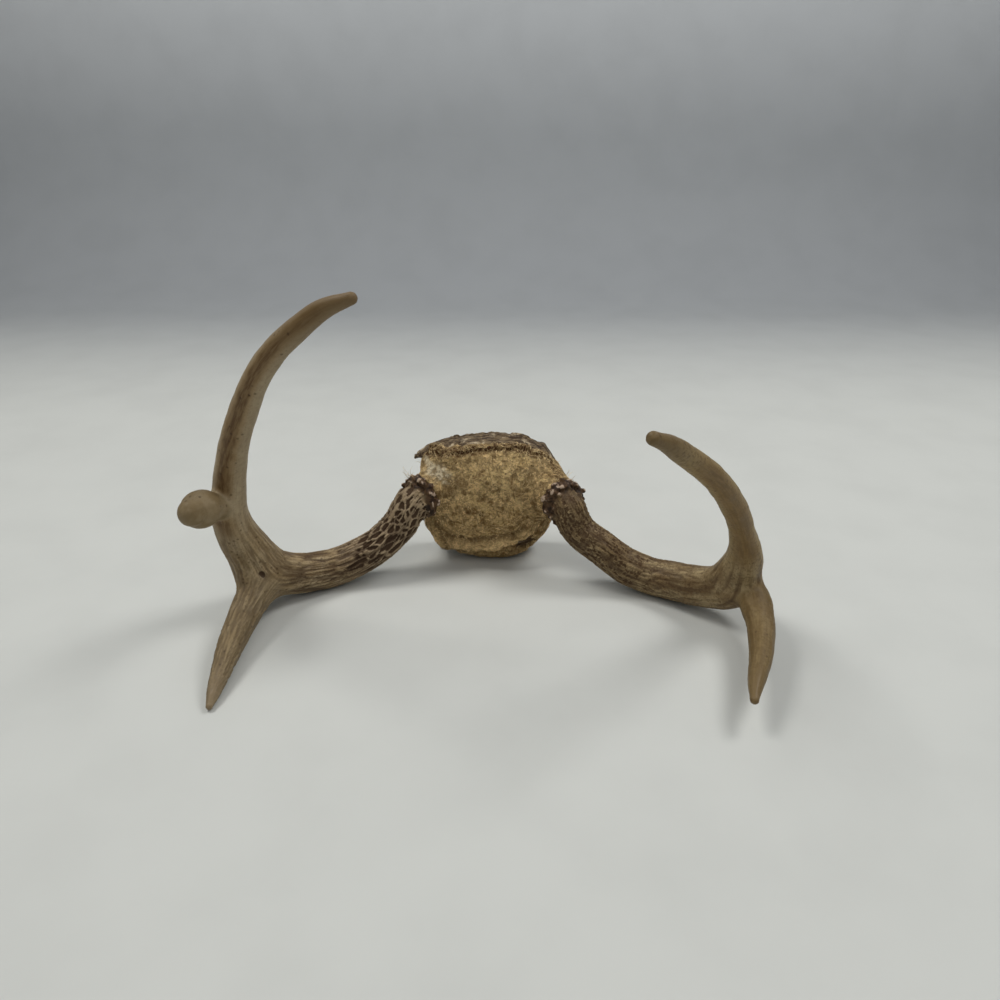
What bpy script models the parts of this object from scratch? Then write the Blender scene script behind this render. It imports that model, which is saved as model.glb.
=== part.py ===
"""A small white-tailed deer rack: two antlers grown on a sawn piece of skull with dried hide.

The rack stands on the hind edge of the skull cap, on the undersides of both beams and on the tip
of the left front tine.  +Z is up, +X runs across the rack from the left antler to the right, and
-Y is the side that the forehead and the front tines face.  Left and right are those of a person
who faces the forehead.  Lengths below are in millimetres.
"""
import math

import bpy
import bmesh
from mathutils import Matrix, Vector

MM = 0.001

# Driving dimensions, in millimetres
KERF = 0.3                 # gap where the grown piece is divided into nodes
TUBE_STEPS = 3             # rings between two stations of a branch
TUBE_ROUND = 4             # bevel resolution of a branch: 12 sides

BURR_RADIUS = 11.0         # middle of the knobbly ring at the foot of an antler
BURR_THICKNESS = 7.2
BURR_KNOBS = 9
BURR_SWELL = 0.05          # how much the ring swells at each knob, as a share
BURR_FACES = (36, 8)       # round the ring and round its tube
PEDICLE_RADIUS = 10.0
SEAM_RUN = 7.0             # straight start of the beam, past the burr

KERF_SIDES = 24
WELD = 0.01                # points closer than this are one point
SMOOTH_ANGLE = 40          # degrees; sharper edges stay sharp

CAP_CENTRE = Vector((1, 86, 42.1))
CAP_HALF = Vector((46, 31, 42))      # half width, depth and height of the domed bone
CAP_SQUARENESS = 2.5                 # 2 is an ellipsoid, more is boxier
CAP_TAPER = 0.17                     # how much narrower the hind (lower) end is
CAP_ROLL = 4                         # degrees that the cap leans down towards +X
CAP_FACES = (28, 14)                 # round the dome and from its one pole to the other
RIM_Y = 91                           # plane of the saw cut through the skull
TOP_Z = 78.5                         # plane of the cut across the forehead
HOLLOW_CENTRE = Vector((1, 92, 38))
HOLLOW_HALF = Vector((36, 28, 30))   # the cranial hollow behind the forehead

HIDE_GAP = 0.4
HIDE_THICKNESS = 1.8
HIDE_TOP = 75                        # the hide ends below the forehead cut
HIDE_BOTTOM = 4
HIDE_BACK = 85
HIDE_COLLAR = 2.2                    # clearance round a pedicle
COLLAR_RUN = 2                       # how far that clearance runs past the seam
WASTE_REACH = 80                     # half width of the blocks that the saw took away

# Each branch is a list of stations: x, y, z and radius.
LEFT = {
    "pedicle": ((-29, 73, 50), (-39, 62, 49)),
    "main": [(-54, 51, 34.5, 10.8), (-66, 46, 23.5, 11), (-80, 42, 15.8, 11.3), (-93, 38, 11.6, 11.5),
             (-105, 31, 12.3, 11.6), (-118, 23, 15.5, 12), (-128.7, 15, 23, 12.8),
             (-133.8, 9, 40, 11.7), (-136.4, 1, 66, 9.7), (-131.3, -4, 89, 8.2),
             (-116.2, -17, 125.6, 6.8), (-92.6, -32, 161.3, 5.7), (-78, -38, 174.4, 5.1),
             (-64.3, -43, 184, 4.2), (-52, -47.6, 189.2, 2.2)],
    "tine": [(-128, 11, 20, 11), (-130, 0, 16.5, 10), (-132, -19, 12.5, 8.2), (-132.7, -36, 9.6, 7),
             (-132.2, -54, 6.8, 5.3), (-131.9, -68, 4.1, 3.4), (-131.7, -76, 2.2, 1.8)],
    "upper_cut": ((-134.5, 11, 37), (-0.08, -0.26, 1), 16),
    "tine_cut": ((-130.5, -4, 16), (-0.1, -1, -0.2), 13),
    "nub": [(-136, 3, 70, 6), (-138.4, -12, 77, 6.9), (-141, -20.5, 80.4, 9.6),
            (-141.9, -25, 81.6, 9), (-142.6, -30.5, 83.3, 5)],
}
RIGHT = {
    "pedicle": ((36, 68, 52), (43, 54, 50.5)),
    "main": [(54, 42, 35.5, 10.4), (68, 36.5, 25.5, 10.5), (83, 32.5, 15.6, 10.9), (97, 28, 11.5, 11.2),
             (109, 21, 12.2, 11.3), (121, 11, 15, 11.4), (135, 0, 22, 12.3),
             (136.8, -9, 42, 9.9), (128.2, -23, 69, 6.6), (114.9, -40, 93.7, 6.1),
             (100, -56, 113.6, 5.5), (83.8, -71, 129.4, 5), (72, -82, 139.6, 3.8),
             (64.5, -87.8, 144.6, 2.4)],
    "tine": [(138, 0, 26, 9), (143, -13, 24, 8.8), (142.5, -28, 20.5, 7.7), (138.2, -46, 19.2, 6.4),
             (132.8, -62, 19, 5.4), (126.3, -77, 18.6, 4), (122.2, -88.2, 17.4, 2.2)],
    "upper_cut": ((137, -6, 37), (-0.05, -0.42, 1), 16),
    "tine_cut": ((143, -17, 23), (0.02, -1, -0.2), 12),
    "nub": [],
}


def clear_scene():
    for old in list(bpy.data.objects):
        bpy.data.objects.remove(old, do_unlink=True)


def make_collection(name):
    group = bpy.data.collections.new(name)
    bpy.context.scene.collection.children.link(group)
    return group


def make_material(name, colour, roughness):
    material = bpy.data.materials.new(name)
    material.use_nodes = True
    shader = material.node_tree.nodes["Principled BSDF"]
    shader.inputs["Base Color"].default_value = (*colour, 1)
    shader.inputs["Roughness"].default_value = roughness
    shader.inputs["Metallic"].default_value = 0.0
    return material


def move_home(piece, group):
    """Put an object into one collection and take it out of all others."""
    for home in list(piece.users_collection):
        home.objects.unlink(piece)
    group.objects.link(piece)


def link_mesh(name, mesh, group):
    piece = bpy.data.objects.new(name, mesh)
    group.objects.link(piece)
    return piece


def flat_copy(piece):
    """A plain mesh of an object as its modifiers leave it, with its loose caps welded."""
    shown = piece.evaluated_get(bpy.context.evaluated_depsgraph_get())
    mesh = bpy.data.meshes.new_from_object(shown)
    mesh.transform(piece.matrix_world)
    bm = bmesh.new()
    bm.from_mesh(mesh)
    bmesh.ops.remove_doubles(bm, verts=bm.verts, dist=WELD * MM)
    bmesh.ops.recalc_face_normals(bm, faces=bm.faces)
    bm.to_mesh(mesh)
    bm.free()
    return mesh


def branch(name, stations, group):
    """A tapered, closed tube through the stations of one branch."""
    data = bpy.data.curves.new(name, "CURVE")
    data.dimensions = "3D"
    data.bevel_depth = MM
    data.bevel_resolution = TUBE_ROUND
    data.resolution_u = TUBE_STEPS
    data.use_fill_caps = True
    spline = data.splines.new("BEZIER")
    spline.bezier_points.add(len(stations) - 1)
    for point, (x, y, z, radius) in zip(spline.bezier_points, stations):
        point.co = Vector((x, y, z)) * MM
        point.radius = radius
        point.handle_left_type = "AUTO"
        point.handle_right_type = "AUTO"
    spline.bezier_points[0].handle_right_type = "VECTOR"
    spline.bezier_points[-1].handle_left_type = "VECTOR"
    tube = bpy.data.objects.new(name, data)
    group.objects.link(tube)
    bpy.context.view_layer.update()
    mesh = flat_copy(tube)
    bpy.data.objects.remove(tube, do_unlink=True)
    return link_mesh(name, mesh, group)


def boolean(piece, other, operation):
    step = piece.modifiers.new(operation.title(), "BOOLEAN")
    step.operation = operation
    step.solver = "EXACT"
    step.object = other


def combine(name, first, steps, group):
    """Apply a chain of booleans to the first object and drop every object that it used."""
    for other, operation in steps:
        boolean(first, other, operation)
    bpy.context.view_layer.update()
    mesh = flat_copy(first)
    for used in [first] + [other for other, operation in steps]:
        bpy.data.objects.remove(used, do_unlink=True)
    return link_mesh(name, mesh, group)


def aim(piece, place, direction):
    piece.location = Vector(place) * MM
    piece.rotation_euler = Vector(direction).to_track_quat("Z", "Y").to_euler()
    bpy.context.view_layer.update()


def burr(name, seam, direction, group):
    """The knobbly ring at the foot of an antler: a torus whose tube swells and shrinks."""
    half = BURR_THICKNESS / 2
    bpy.ops.mesh.primitive_torus_add(major_segments=BURR_FACES[0], minor_segments=BURR_FACES[1],
                                     major_radius=BURR_RADIUS * MM, minor_radius=half * MM)
    ring = bpy.context.object
    ring.name = name
    for corner in ring.data.vertices:
        turn = math.atan2(corner.co.y, corner.co.x)
        swell = 1 + BURR_SWELL * math.cos(BURR_KNOBS * turn)
        corner.co.x *= swell
        corner.co.y *= swell
    aim(ring, seam + direction * (half + KERF), direction)
    move_home(ring, group)
    return ring


def kerf(name, place, direction, radius, group):
    """A thin disc that divides one branch from the antler."""
    bpy.ops.mesh.primitive_cylinder_add(vertices=KERF_SIDES, radius=radius * MM,
                                        depth=KERF * MM)
    disc = bpy.context.object
    disc.name = name
    aim(disc, place, direction)
    move_home(disc, group)
    return disc


def loose_parts(mesh):
    """The mesh's separate closed bodies, each as a mesh of its own."""
    bm = bmesh.new()
    bm.from_mesh(mesh)
    waiting = set(bm.faces)
    bodies = []
    while waiting:
        body = set()
        edge_of = [waiting.pop()]
        while edge_of:
            face = edge_of.pop()
            body.add(face.index)
            for edge in face.edges:
                for near in edge.link_faces:
                    if near in waiting:
                        waiting.remove(near)
                        edge_of.append(near)
        bodies.append(body)
    bm.free()
    meshes = []
    for body in bodies:
        part = bmesh.new()
        part.from_mesh(mesh)
        part.faces.ensure_lookup_table()
        others = [face for face in part.faces if face.index not in body]
        bmesh.ops.delete(part, geom=others, context="FACES")
        piece = bpy.data.meshes.new("body")
        part.to_mesh(piece)
        part.free()
        meshes.append(piece)
    return meshes


def nearest(meshes, place):
    target = Vector(place) * MM
    return min(meshes, key=lambda mesh: min((v.co - target).length for v in mesh.vertices))


def seam_of(side):
    root, seam = (Vector(point) for point in side["pedicle"])
    return root, seam, (seam - root).normalized()


def antler(side, data, group, cutters):
    """One antler as a single grown shape, then divided at its fork into three nodes."""
    root, seam, direction = seam_of(data)
    run = seam + direction * SEAM_RUN
    foot = [(*seam, PEDICLE_RADIUS), (*run, data["main"][0][3])]
    main = branch(side + "_main", foot + data["main"], group)
    steps = [(branch(side + "_tine", data["tine"], group), "UNION"),
             (burr(side + "_burr", seam, direction, cutters), "UNION")]
    if data["nub"]:
        steps.append((branch(side + "_nub", data["nub"], group), "UNION"))
    for cut in ("upper_cut", "tine_cut"):
        steps.append((kerf(side + "_" + cut, *data[cut], cutters), "DIFFERENCE"))
    whole = combine(side + "_antler", main, steps, group)
    bodies = loose_parts(whole.data)
    bpy.data.objects.remove(whole, do_unlink=True)
    marks = {"beam": data["main"][0][:3], "front_tine": data["tine"][-1][:3],
             "upper_beam": data["main"][-1][:3]}
    return [link_mesh(side + "_" + part, nearest(bodies, mark), group)
            for part, mark in marks.items()]


def dome(name, centre, half, group):
    """A boxy, tapering ellipsoid: a sphere whose points are moved by a formula."""
    bpy.ops.mesh.primitive_uv_sphere_add(segments=CAP_FACES[0], ring_count=CAP_FACES[1], radius=1)
    shape = bpy.context.object
    shape.name = name
    roll = Matrix.Rotation(math.radians(CAP_ROLL), 3, "Y")
    for corner in shape.data.vertices:
        x, z, y = corner.co
        power = sum(abs(part) ** CAP_SQUARENESS for part in (x, y, z)) ** (1 / CAP_SQUARENESS)
        x, y, z = x / power, y / power, z / power
        width = 1 - CAP_TAPER * (0.5 - 0.5 * z)
        corner.co = roll @ Vector((x * half.x * width, y * half.y, z * half.z))
        corner.co = (corner.co + centre) * MM
    bm = bmesh.new()
    bm.from_mesh(shape.data)
    bmesh.ops.recalc_face_normals(bm, faces=bm.faces)
    bm.to_mesh(shape.data)
    bm.free()
    move_home(shape, group)
    return shape


def block(name, low, high, group):
    bpy.ops.mesh.primitive_cube_add(size=1)
    box = bpy.context.object
    box.name = name
    low, high = Vector(low), Vector(high)
    for corner in box.data.vertices:
        share = corner.co + Vector((0.5, 0.5, 0.5))
        corner.co = Vector([a + (b - a) * s for a, b, s in zip(low, high, share)]) * MM
    move_home(box, group)
    return box


def pedicle(name, data, extra, overrun, group):
    root, seam, direction = seam_of(data)
    end = seam + direction * overrun
    radius = PEDICLE_RADIUS + extra
    return branch(name, [(*root, radius), (*end, radius)], group)


def skull_cap(group, cutters):
    bone = dome("bone", CAP_CENTRE, CAP_HALF, group)
    far = (WASTE_REACH, 2 * WASTE_REACH, 2 * WASTE_REACH)
    rear = block("rear_waste", (-WASTE_REACH, RIM_Y, -WASTE_REACH), far, cutters)
    top = block("top_waste", (-WASTE_REACH, 0, TOP_Z), far, cutters)
    steps = [(pedicle("left_pedicle", LEFT, 0, -KERF, group), "UNION"),
             (pedicle("right_pedicle", RIGHT, 0, -KERF, group), "UNION"),
             (dome("hollow", HOLLOW_CENTRE, HOLLOW_HALF, cutters), "DIFFERENCE"),
             (rear, "DIFFERENCE"),
             (top, "DIFFERENCE")]
    return combine("skull_cap", bone, steps, group)


def dried_hide(group, cutters):
    gap = Vector((HIDE_GAP, HIDE_GAP, HIDE_GAP))
    skin = Vector((HIDE_THICKNESS, HIDE_THICKNESS, HIDE_THICKNESS))
    outside = dome("hide_outside", CAP_CENTRE, CAP_HALF + gap + skin, group)
    kept = block("hide_reach", (-WASTE_REACH, 0, HIDE_BOTTOM),
                 (WASTE_REACH, HIDE_BACK, HIDE_TOP), cutters)
    steps = [(kept, "INTERSECT"),
             (dome("hide_inside", CAP_CENTRE, CAP_HALF + gap, cutters), "DIFFERENCE"),
             (pedicle("left_collar", LEFT, HIDE_COLLAR, COLLAR_RUN, cutters), "DIFFERENCE"),
             (pedicle("right_collar", RIGHT, HIDE_COLLAR, COLLAR_RUN, cutters), "DIFFERENCE")]
    return combine("dried_hide", outside, steps, group)


def finish(piece, material):
    piece.data.materials.clear()
    piece.data.materials.append(material)
    piece.data.shade_smooth()
    piece.data.set_sharp_from_angle(angle=math.radians(SMOOTH_ANGLE))


def main():
    clear_scene()
    rack = make_collection("deer_rack")
    cutters = make_collection("cutters")
    antler_bone = make_material("antler", (0.33, 0.25, 0.16), 0.6)
    skull_bone = make_material("skull bone", (0.42, 0.33, 0.22), 0.75)
    hide_skin = make_material("dried hide", (0.40, 0.29, 0.16), 0.85)
    for side, data in (("left", LEFT), ("right", RIGHT)):
        for piece in antler(side, data, rack, cutters):
            finish(piece, antler_bone)
    finish(skull_cap(rack, cutters), skull_bone)
    finish(dried_hide(rack, cutters), hide_skin)


main()
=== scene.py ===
# %% [markdown]
# # A young deer's rack on its piece of skull
# Two small antlers, each with one front tine, still grown to the sawn top of the skull, with the
# dried hide left on the forehead.  The solids that fix every size are already packed, and this
# lesson builds the looks around them: grown bone first, then hide, then hair.
# The helper loads the imported solids.

# %% Load the fixed solids
import itertools
import math

import bmesh
import bpy
import numpy as np
from mathutils import Matrix, Vector
from mathutils.kdtree import KDTree


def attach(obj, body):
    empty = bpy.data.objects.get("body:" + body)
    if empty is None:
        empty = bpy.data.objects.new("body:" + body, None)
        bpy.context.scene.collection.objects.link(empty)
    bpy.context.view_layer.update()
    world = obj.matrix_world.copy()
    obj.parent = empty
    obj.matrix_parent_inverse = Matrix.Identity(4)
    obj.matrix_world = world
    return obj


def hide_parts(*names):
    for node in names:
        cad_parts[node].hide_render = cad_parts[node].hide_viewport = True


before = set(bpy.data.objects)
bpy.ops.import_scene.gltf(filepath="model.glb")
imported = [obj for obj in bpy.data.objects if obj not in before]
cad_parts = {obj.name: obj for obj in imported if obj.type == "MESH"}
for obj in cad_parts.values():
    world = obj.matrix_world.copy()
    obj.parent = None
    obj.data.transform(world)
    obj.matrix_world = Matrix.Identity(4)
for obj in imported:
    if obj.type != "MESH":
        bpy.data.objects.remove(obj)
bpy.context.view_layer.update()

MM = 0.001
print("packed solids:", ", ".join(sorted(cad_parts)))

# %% [markdown]
# ## Camera
# A hand-held view from in front and above: 26 degrees down, a wide lens, everything sharp.

# %% Camera
CAMERA_PLACE = (0.007, -0.354, 0.248)
CAMERA_PITCH = 26
LENS = 27.036


def placed(name, data):
    """A new object in the scene."""
    piece = bpy.data.objects.new(name, data)
    bpy.context.scene.collection.objects.link(piece)
    return piece


camera = placed("camera", bpy.data.cameras.new("camera"))
camera.data.lens = LENS
camera.data.clip_start = 0.01
camera.location = CAMERA_PLACE
camera.rotation_euler = (math.radians(90 - CAMERA_PITCH), 0, 0)
bpy.context.scene.camera = camera
bpy.context.scene.view_settings.view_transform = "Standard"
print("camera at", CAMERA_PLACE, "lens", LENS)

# %% [markdown]
# ## Small helpers for node trees
# Both the modelling trees and the materials are built in code.  One function adds a node and
# fills its sockets, with a number or with a link from another node; another does arithmetic.

# %% Node helpers
def fill(tree, node, sockets):
    """Link each input socket to another node, or set it to a number or a colour."""
    for key, value in sockets.items():
        socket = node.inputs[key]
        if isinstance(value, bpy.types.NodeSocket):
            tree.links.new(value, socket)
        else:
            socket.default_value = (*value, 1) if socket.type == "RGBA" else value


def put(tree, kind, sockets=None, **settings):
    """Add a node, set its options, and fill its input sockets."""
    node = tree.nodes.new(kind)
    for key, value in settings.items():
        setattr(node, key, value)
    fill(tree, node, sockets or {})
    return node


def calc(tree, operation, *values):
    """One Math node's result."""
    return put(tree, "ShaderNodeMath", dict(enumerate(values)), operation=operation).outputs[0]


def times(tree, first, second):
    return calc(tree, "MULTIPLY", first, second)


def scaled(tree, vector, share):
    node = put(tree, "ShaderNodeVectorMath", {0: vector, "Scale": share}, operation="SCALE")
    return node.outputs[0]


def split(tree, vector):
    """The X, Y and Z of a vector."""
    return put(tree, "ShaderNodeSeparateXYZ", {0: vector}).outputs


def ramp(tree, value, low, high, start=0.0, end=1.0):
    """A smooth step: start below low, end above high."""
    return put(tree, "ShaderNodeMapRange", {
        "Value": value, "From Min": low, "From Max": high, "To Min": start, "To Max": end},
        interpolation_type="SMOOTHSTEP").outputs[0]


def noise(tree, vector, scale, detail, **more):
    sockets = {"Vector": vector, "Scale": scale, "Detail": detail, **more}
    return put(tree, "ShaderNodeTexNoise", sockets).outputs[0]


def blend(tree, share, first, second):
    """A colour between two colours."""
    sockets = {0: share, 6: first, 7: second}
    return put(tree, "ShaderNodeMix", sockets, data_type="RGBA").outputs[2]


def mixed(tree, share, first, second):
    """A number between two numbers."""
    sockets = {0: share, 2: first, 3: second}
    return put(tree, "ShaderNodeMix", sockets, data_type="FLOAT").outputs[0]


print("node helpers ready")

# %% [markdown]
# ## A finish, coat by coat
# Every finish here is built the way a painter works: a ground made of two colours, then thin
# coats, each where its mask lets it through.  Masks are cloudy noise, streaks, pores, or marks
# that the mesh carries.  A small class keeps the colour so far, so a coat is one short line.

# %% Coats
class Coats:
    """A finish under way: its node tree, its coordinates and its colour so far."""

    def __init__(self, name, specular):
        self.material = bpy.data.materials.new(name)
        self.material.use_nodes = True
        self.tree = self.material.node_tree
        self.shader = self.tree.nodes["Principled BSDF"]
        self.shader.inputs["Specular IOR Level"].default_value = specular
        self.place = put(self.tree, "ShaderNodeTexCoord").outputs["Object"]

    def effect(self, group, place=None, **sockets):
        """Place a shared effect and give its number."""
        sockets["Vector"] = place or self.place
        return put(self.tree, "ShaderNodeGroup", sockets, node_tree=group).outputs[0]

    def mottle(self, size, low, high, detail=4.0):
        return self.effect(MOTTLE, Size=size, Low=low, High=high, Detail=detail)

    def mark(self, name, output="Fac"):
        """A mask that the mesh carries."""
        return put(self.tree, "ShaderNodeAttribute", attribute_type="GEOMETRY",
                   attribute_name=name).outputs[output]

    def coat(self, mask, share, paint, over=None):
        """Lay paint over a colour, or over the colour so far, where the mask is."""
        if isinstance(mask, str):
            mask = self.mark(mask)
        laid = blend(self.tree, times(self.tree, mask, share), over or self.colour, paint)
        if over is None:
            self.colour = laid
        return laid

    def ground(self, mask, first, second):
        self.colour = blend(self.tree, mask, first, second)

    def done(self, rough, height=None, strength=1.0, reach=0.001):
        """Join colour, roughness and a fine bump to the shader."""
        made = {"Base Color": self.colour, "Roughness": rough}
        if height:
            bump = {"Strength": strength, "Distance": reach, "Height": height}
            made["Normal"] = put(self.tree, "ShaderNodeBump", bump).outputs[0]
        fill(self.tree, self.shader, made)
        return self.material


print("coats ready")

# %% [markdown]
# ## Floor and light
# A sheet of off-white paper runs back to a sweep far behind; painted shade darkens the paper
# towards the back and painted light makes the wall paler towards its top.  Soft light falls from two
# large lamps above left and above right, so the rack has two faint soft shadows and a dark,
# tight one where it touches.

# %% Floor, sweep and lamps
FLOOR_REACH = 1.05     # m, the paper's end behind the rack
FLOOR_FRONT, FLOOR_HALF, WALL_HEIGHT = -2.4, 2.6, 2.6
SWEEP_RADIUS, SWEEP_STEPS = 0.25, 12
PAPER = (0.645, 0.66, 0.635)
# Painted shade: the paper darkens towards the next colour at the back; painted light: the wall pales
# towards the one after it at its top.
BACKDROP_PAINTED_SHADE = (0.38, 0.40, 0.42)
WALL_TOP_PAINTED_LIGHT = (0.92, 0.95, 0.98)


def stage_sweep():
    """A floor that turns up into a wall, as one strip."""
    line = [(FLOOR_FRONT, 0.0), (0.0, 0.0), (FLOOR_REACH - SWEEP_RADIUS, 0.0)]
    for step in range(1, SWEEP_STEPS + 1):
        turn = math.radians(90 * step / SWEEP_STEPS)
        line.append((FLOOR_REACH - SWEEP_RADIUS * (1 - math.sin(turn)),
                     SWEEP_RADIUS * (1 - math.cos(turn))))
    line.append((FLOOR_REACH, WALL_HEIGHT))
    corners = [(x, y, z) for y, z in line for x in (-FLOOR_HALF, FLOOR_HALF)]
    faces = [(2 * i, 2 * i + 1, 2 * i + 3, 2 * i + 2) for i in range(len(line) - 1)]
    mesh = bpy.data.meshes.new("floor")
    mesh.from_pydata(corners, [], faces)
    mesh.shade_smooth()
    mesh.materials.append(stage_material())
    return placed("floor", mesh)


def stage_material():
    work = Coats("paper sweep", 0.5)
    tree, parts = work.tree, split(work.tree, work.place)
    # Painted shade: the paper is darker towards the back.
    work.ground(ramp(tree, parts["Y"], 0.30, 0.98), PAPER, BACKDROP_PAINTED_SHADE)
    # Painted light: the wall is paler towards its top.
    work.coat(ramp(tree, parts["Z"], 0.15, 0.9), 1.0, WALL_TOP_PAINTED_LIGHT)
    smudge = ramp(tree, noise(tree, work.place, 16.0, 6.0), 0.35, 0.75, 1.0, 0.955)
    work.colour = scaled(tree, work.colour, smudge)
    return work.done(0.75)


def lamp(name, place, aim, size, power, colour):
    light = placed(name, bpy.data.lights.new(name, "AREA"))
    light.data.shape = "RECTANGLE"
    light.data.size, light.data.size_y = size
    light.data.energy = power
    light.data.color = colour
    light.location = place
    light.rotation_euler = (Vector(aim) - Vector(place)).to_track_quat("-Z", "Y").to_euler()


floor = stage_sweep()
lamp("lamp_left", (-0.6, 0.12, 1.25), (0, 0.03, 0), (0.5, 0.5), 7.4, (1.0, 0.985, 0.95))
lamp("lamp_right", (0.75, 0.2, 1.15), (0, 0.03, 0), (0.45, 0.45), 6.2, (1.0, 0.99, 0.97))
lamp("lamp_front", (0.1, -1.0, 1.2), (0, 0.0, 0.06), (0.9, 0.7), 3.4, (1.0, 0.99, 0.96))
world = bpy.data.worlds.new("room")
world.use_nodes = True
fill(world.node_tree, world.node_tree.nodes["Background"],
     {"Color": (0.88, 0.89, 0.9), "Strength": 0.2})
bpy.context.scene.world = world
print("floor reaches", FLOOR_REACH, "m behind the rack")

# %% [markdown]
# ## The lines the antlers grow along
# An antler is a bone that grew outwards along curved lines.  Each line has stations: x, y, z and
# the radius there, in millimetres, the same as in the solids.  Left and right are as seen from
# in front.  A smooth curve is led through them, with a frame that turns as little as possible,
# because the grain of the bone follows that frame.

# %% Stations
LEFT = {
    "pedicle": ((-29, 73, 50), (-39, 62, 49)),
    "main": [(-54, 51, 34.5, 10.8), (-66, 46, 23.5, 11), (-80, 42, 15.8, 11.3),
             (-93, 38, 11.6, 11.5), (-105, 31, 12.3, 11.6), (-118, 23, 15.5, 12),
             (-128.7, 15, 23, 12.8), (-133.8, 9, 40, 11.7), (-136.4, 1, 66, 9.7),
             (-131.3, -4, 89, 8.2), (-116.2, -17, 125.6, 6.8), (-92.6, -32, 161.3, 5.7),
             (-78, -38, 174.4, 5.1), (-64.3, -43, 184, 4.2), (-53.5, -47, 188.2, 2.6)],
    "tine": [(-128, 11, 20, 11), (-130, 0, 16.5, 10), (-132, -19, 12.5, 8.2),
             (-132.7, -36, 9.6, 7.0), (-132.2, -54, 6.8, 5.3), (-131.9, -68, 4.1, 3.4),
             (-131.7, -74.3, 2.5, 1.9)],
    "nub": [(-136, 3, 70, 6), (-138.4, -12, 77, 6.9), (-141, -20.5, 80.4, 9.6),
            (-141.9, -25, 81.6, 9.0), (-142.3, -28, 82.5, 7.0)],
    "web": [(-97, 36, 12, 5), (-108, 28, 15.4, 6.4), (-119.5, 19, 25, 6.4), (-128, 12, 40, 5.8),
            (-134.5, 5, 58, 3.5)],
    "tine_melt": 0.009,
}
RIGHT = {
    "pedicle": ((36, 68, 52), (43, 54, 50.5)),
    "main": [(54, 42, 35.5, 10.4), (68, 36.5, 25.5, 10.5), (83, 32.5, 15.6, 10.9),
             (97, 28, 11.5, 11.2), (109, 21, 12.2, 11.3), (121, 11, 15, 11.4),
             (135, 0, 22, 12.3), (136.8, -9, 42, 9.9), (128.2, -23, 69, 6.6),
             (114.9, -40, 93.7, 6.1), (100, -56, 113.6, 5.5), (83.8, -71, 129.4, 5),
             (72, -82, 139.6, 3.8), (66, -86.6, 143.5, 2.9)],
    "tine": [(138, 0, 26, 9), (143, -13, 24, 8.8), (142.5, -28, 20.5, 7.7),
             (138.2, -46, 19.2, 6.4), (132.8, -62, 19, 5.4), (126.3, -77, 18.6, 4.0),
             (122.6, -87, 17.5, 2.4)],
    "nub": [],
    "web": [(100, 26, 11.5, 5), (111, 18, 13.8, 6.4), (122.5, 5.5, 22, 5.8),
            (130.5, -4.5, 36, 4.6), (133, -12, 50, 2.5)],
    "tine_melt": 0.0045,
}
PEDICLE_RADIUS = 10.0   # mm
SEAM_RUN = 7.0          # straight start of a beam, past the burr
RUN_STEP = 0.0008       # m, spacing of samples along a line
BLOCK = 20000           # points that are compared with a line at once


# %% Lines through the stations
class Run:
    """A smooth line through stations, sampled evenly, with radii and a steady frame."""

    def __init__(self, stations):
        given = np.array(stations, float) * MM
        gaps = np.linalg.norm(np.diff(given[:, :3], axis=0), axis=1)
        knots = np.concatenate([[0.0], np.cumsum(gaps)])
        slope = np.gradient(given, knots, axis=0)
        self.along = np.linspace(0, knots[-1], int(knots[-1] / RUN_STEP) + 1)
        left = np.clip(np.searchsorted(knots, self.along, side="right") - 1, 0, len(knots) - 2)
        width = (knots[left + 1] - knots[left])[:, None]
        t = (self.along - knots[left])[:, None] / width
        line = ((2 * t**3 - 3 * t**2 + 1) * given[left] + (3 * t**2 - 2 * t**3) * given[left + 1]
                + (t**3 - 2 * t**2 + t) * width * slope[left]
                + (t**3 - t**2) * width * slope[left + 1])
        self.points, self.radius = line[:, :3], line[:, 3]
        self.length = knots[-1]
        tangent = np.gradient(self.points, axis=0)
        self.tangent = tangent / np.linalg.norm(tangent, axis=1)[:, None]
        side = np.zeros_like(self.tangent)
        side[0] = np.cross(self.tangent[0], (0, 0, 1))
        for i in range(1, len(side)):
            side[i] = side[i - 1] - self.tangent[i] * (side[i - 1] @ self.tangent[i])
            side[i] /= np.linalg.norm(side[i])
        side[0] /= np.linalg.norm(side[0])
        self.side = side
        self.other = np.cross(self.tangent, side)

    def near(self, where):
        """For each point: place along the line, distance less radius, way out, and turn."""
        best = np.empty(len(where), int)
        own = (self.points**2).sum(1)
        for start in range(0, len(where), BLOCK):
            part = where[start:start + BLOCK]
            best[start:start + BLOCK] = (own - 2 * part @ self.points.T).argmin(1)
        offset = where - self.points[best]
        slide = np.einsum("ij,ij->i", offset, self.tangent[best]).clip(-RUN_STEP, RUN_STEP)
        offset = offset - self.tangent[best] * slide[:, None]
        far = np.linalg.norm(offset, axis=1) + 1e-9
        place = self.along[best] + slide
        radius = np.interp(place, self.along, self.radius)
        turn = np.arctan2(np.einsum("ij,ij->i", offset, self.other[best]),
                          np.einsum("ij,ij->i", offset, self.side[best]))
        return place, far - radius, offset / far[:, None], turn


def lines_of(data):
    """The runs of one antler, with the seam on its pedicle and the way it grows."""
    root, seam = (np.array(p, float) for p in data["pedicle"])
    way = (seam - root) / np.linalg.norm(seam - root)
    foot = [(*seam, PEDICLE_RADIUS), (*(seam + way * SEAM_RUN), data["main"][0][3])]
    runs = {"main": Run(foot + data["main"])}
    for branch in ("tine", "nub", "web"):
        if data[branch]:
            runs[branch] = Run(data[branch])
    runs["tine"].melt = data["tine_melt"]
    return runs, seam * MM, way


for side, data in (("left", LEFT), ("right", RIGHT)):
    runs = lines_of(data)[0]
    print(side, {name: f"{run.length / MM:.0f} mm" for name, run in runs.items()})

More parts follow.
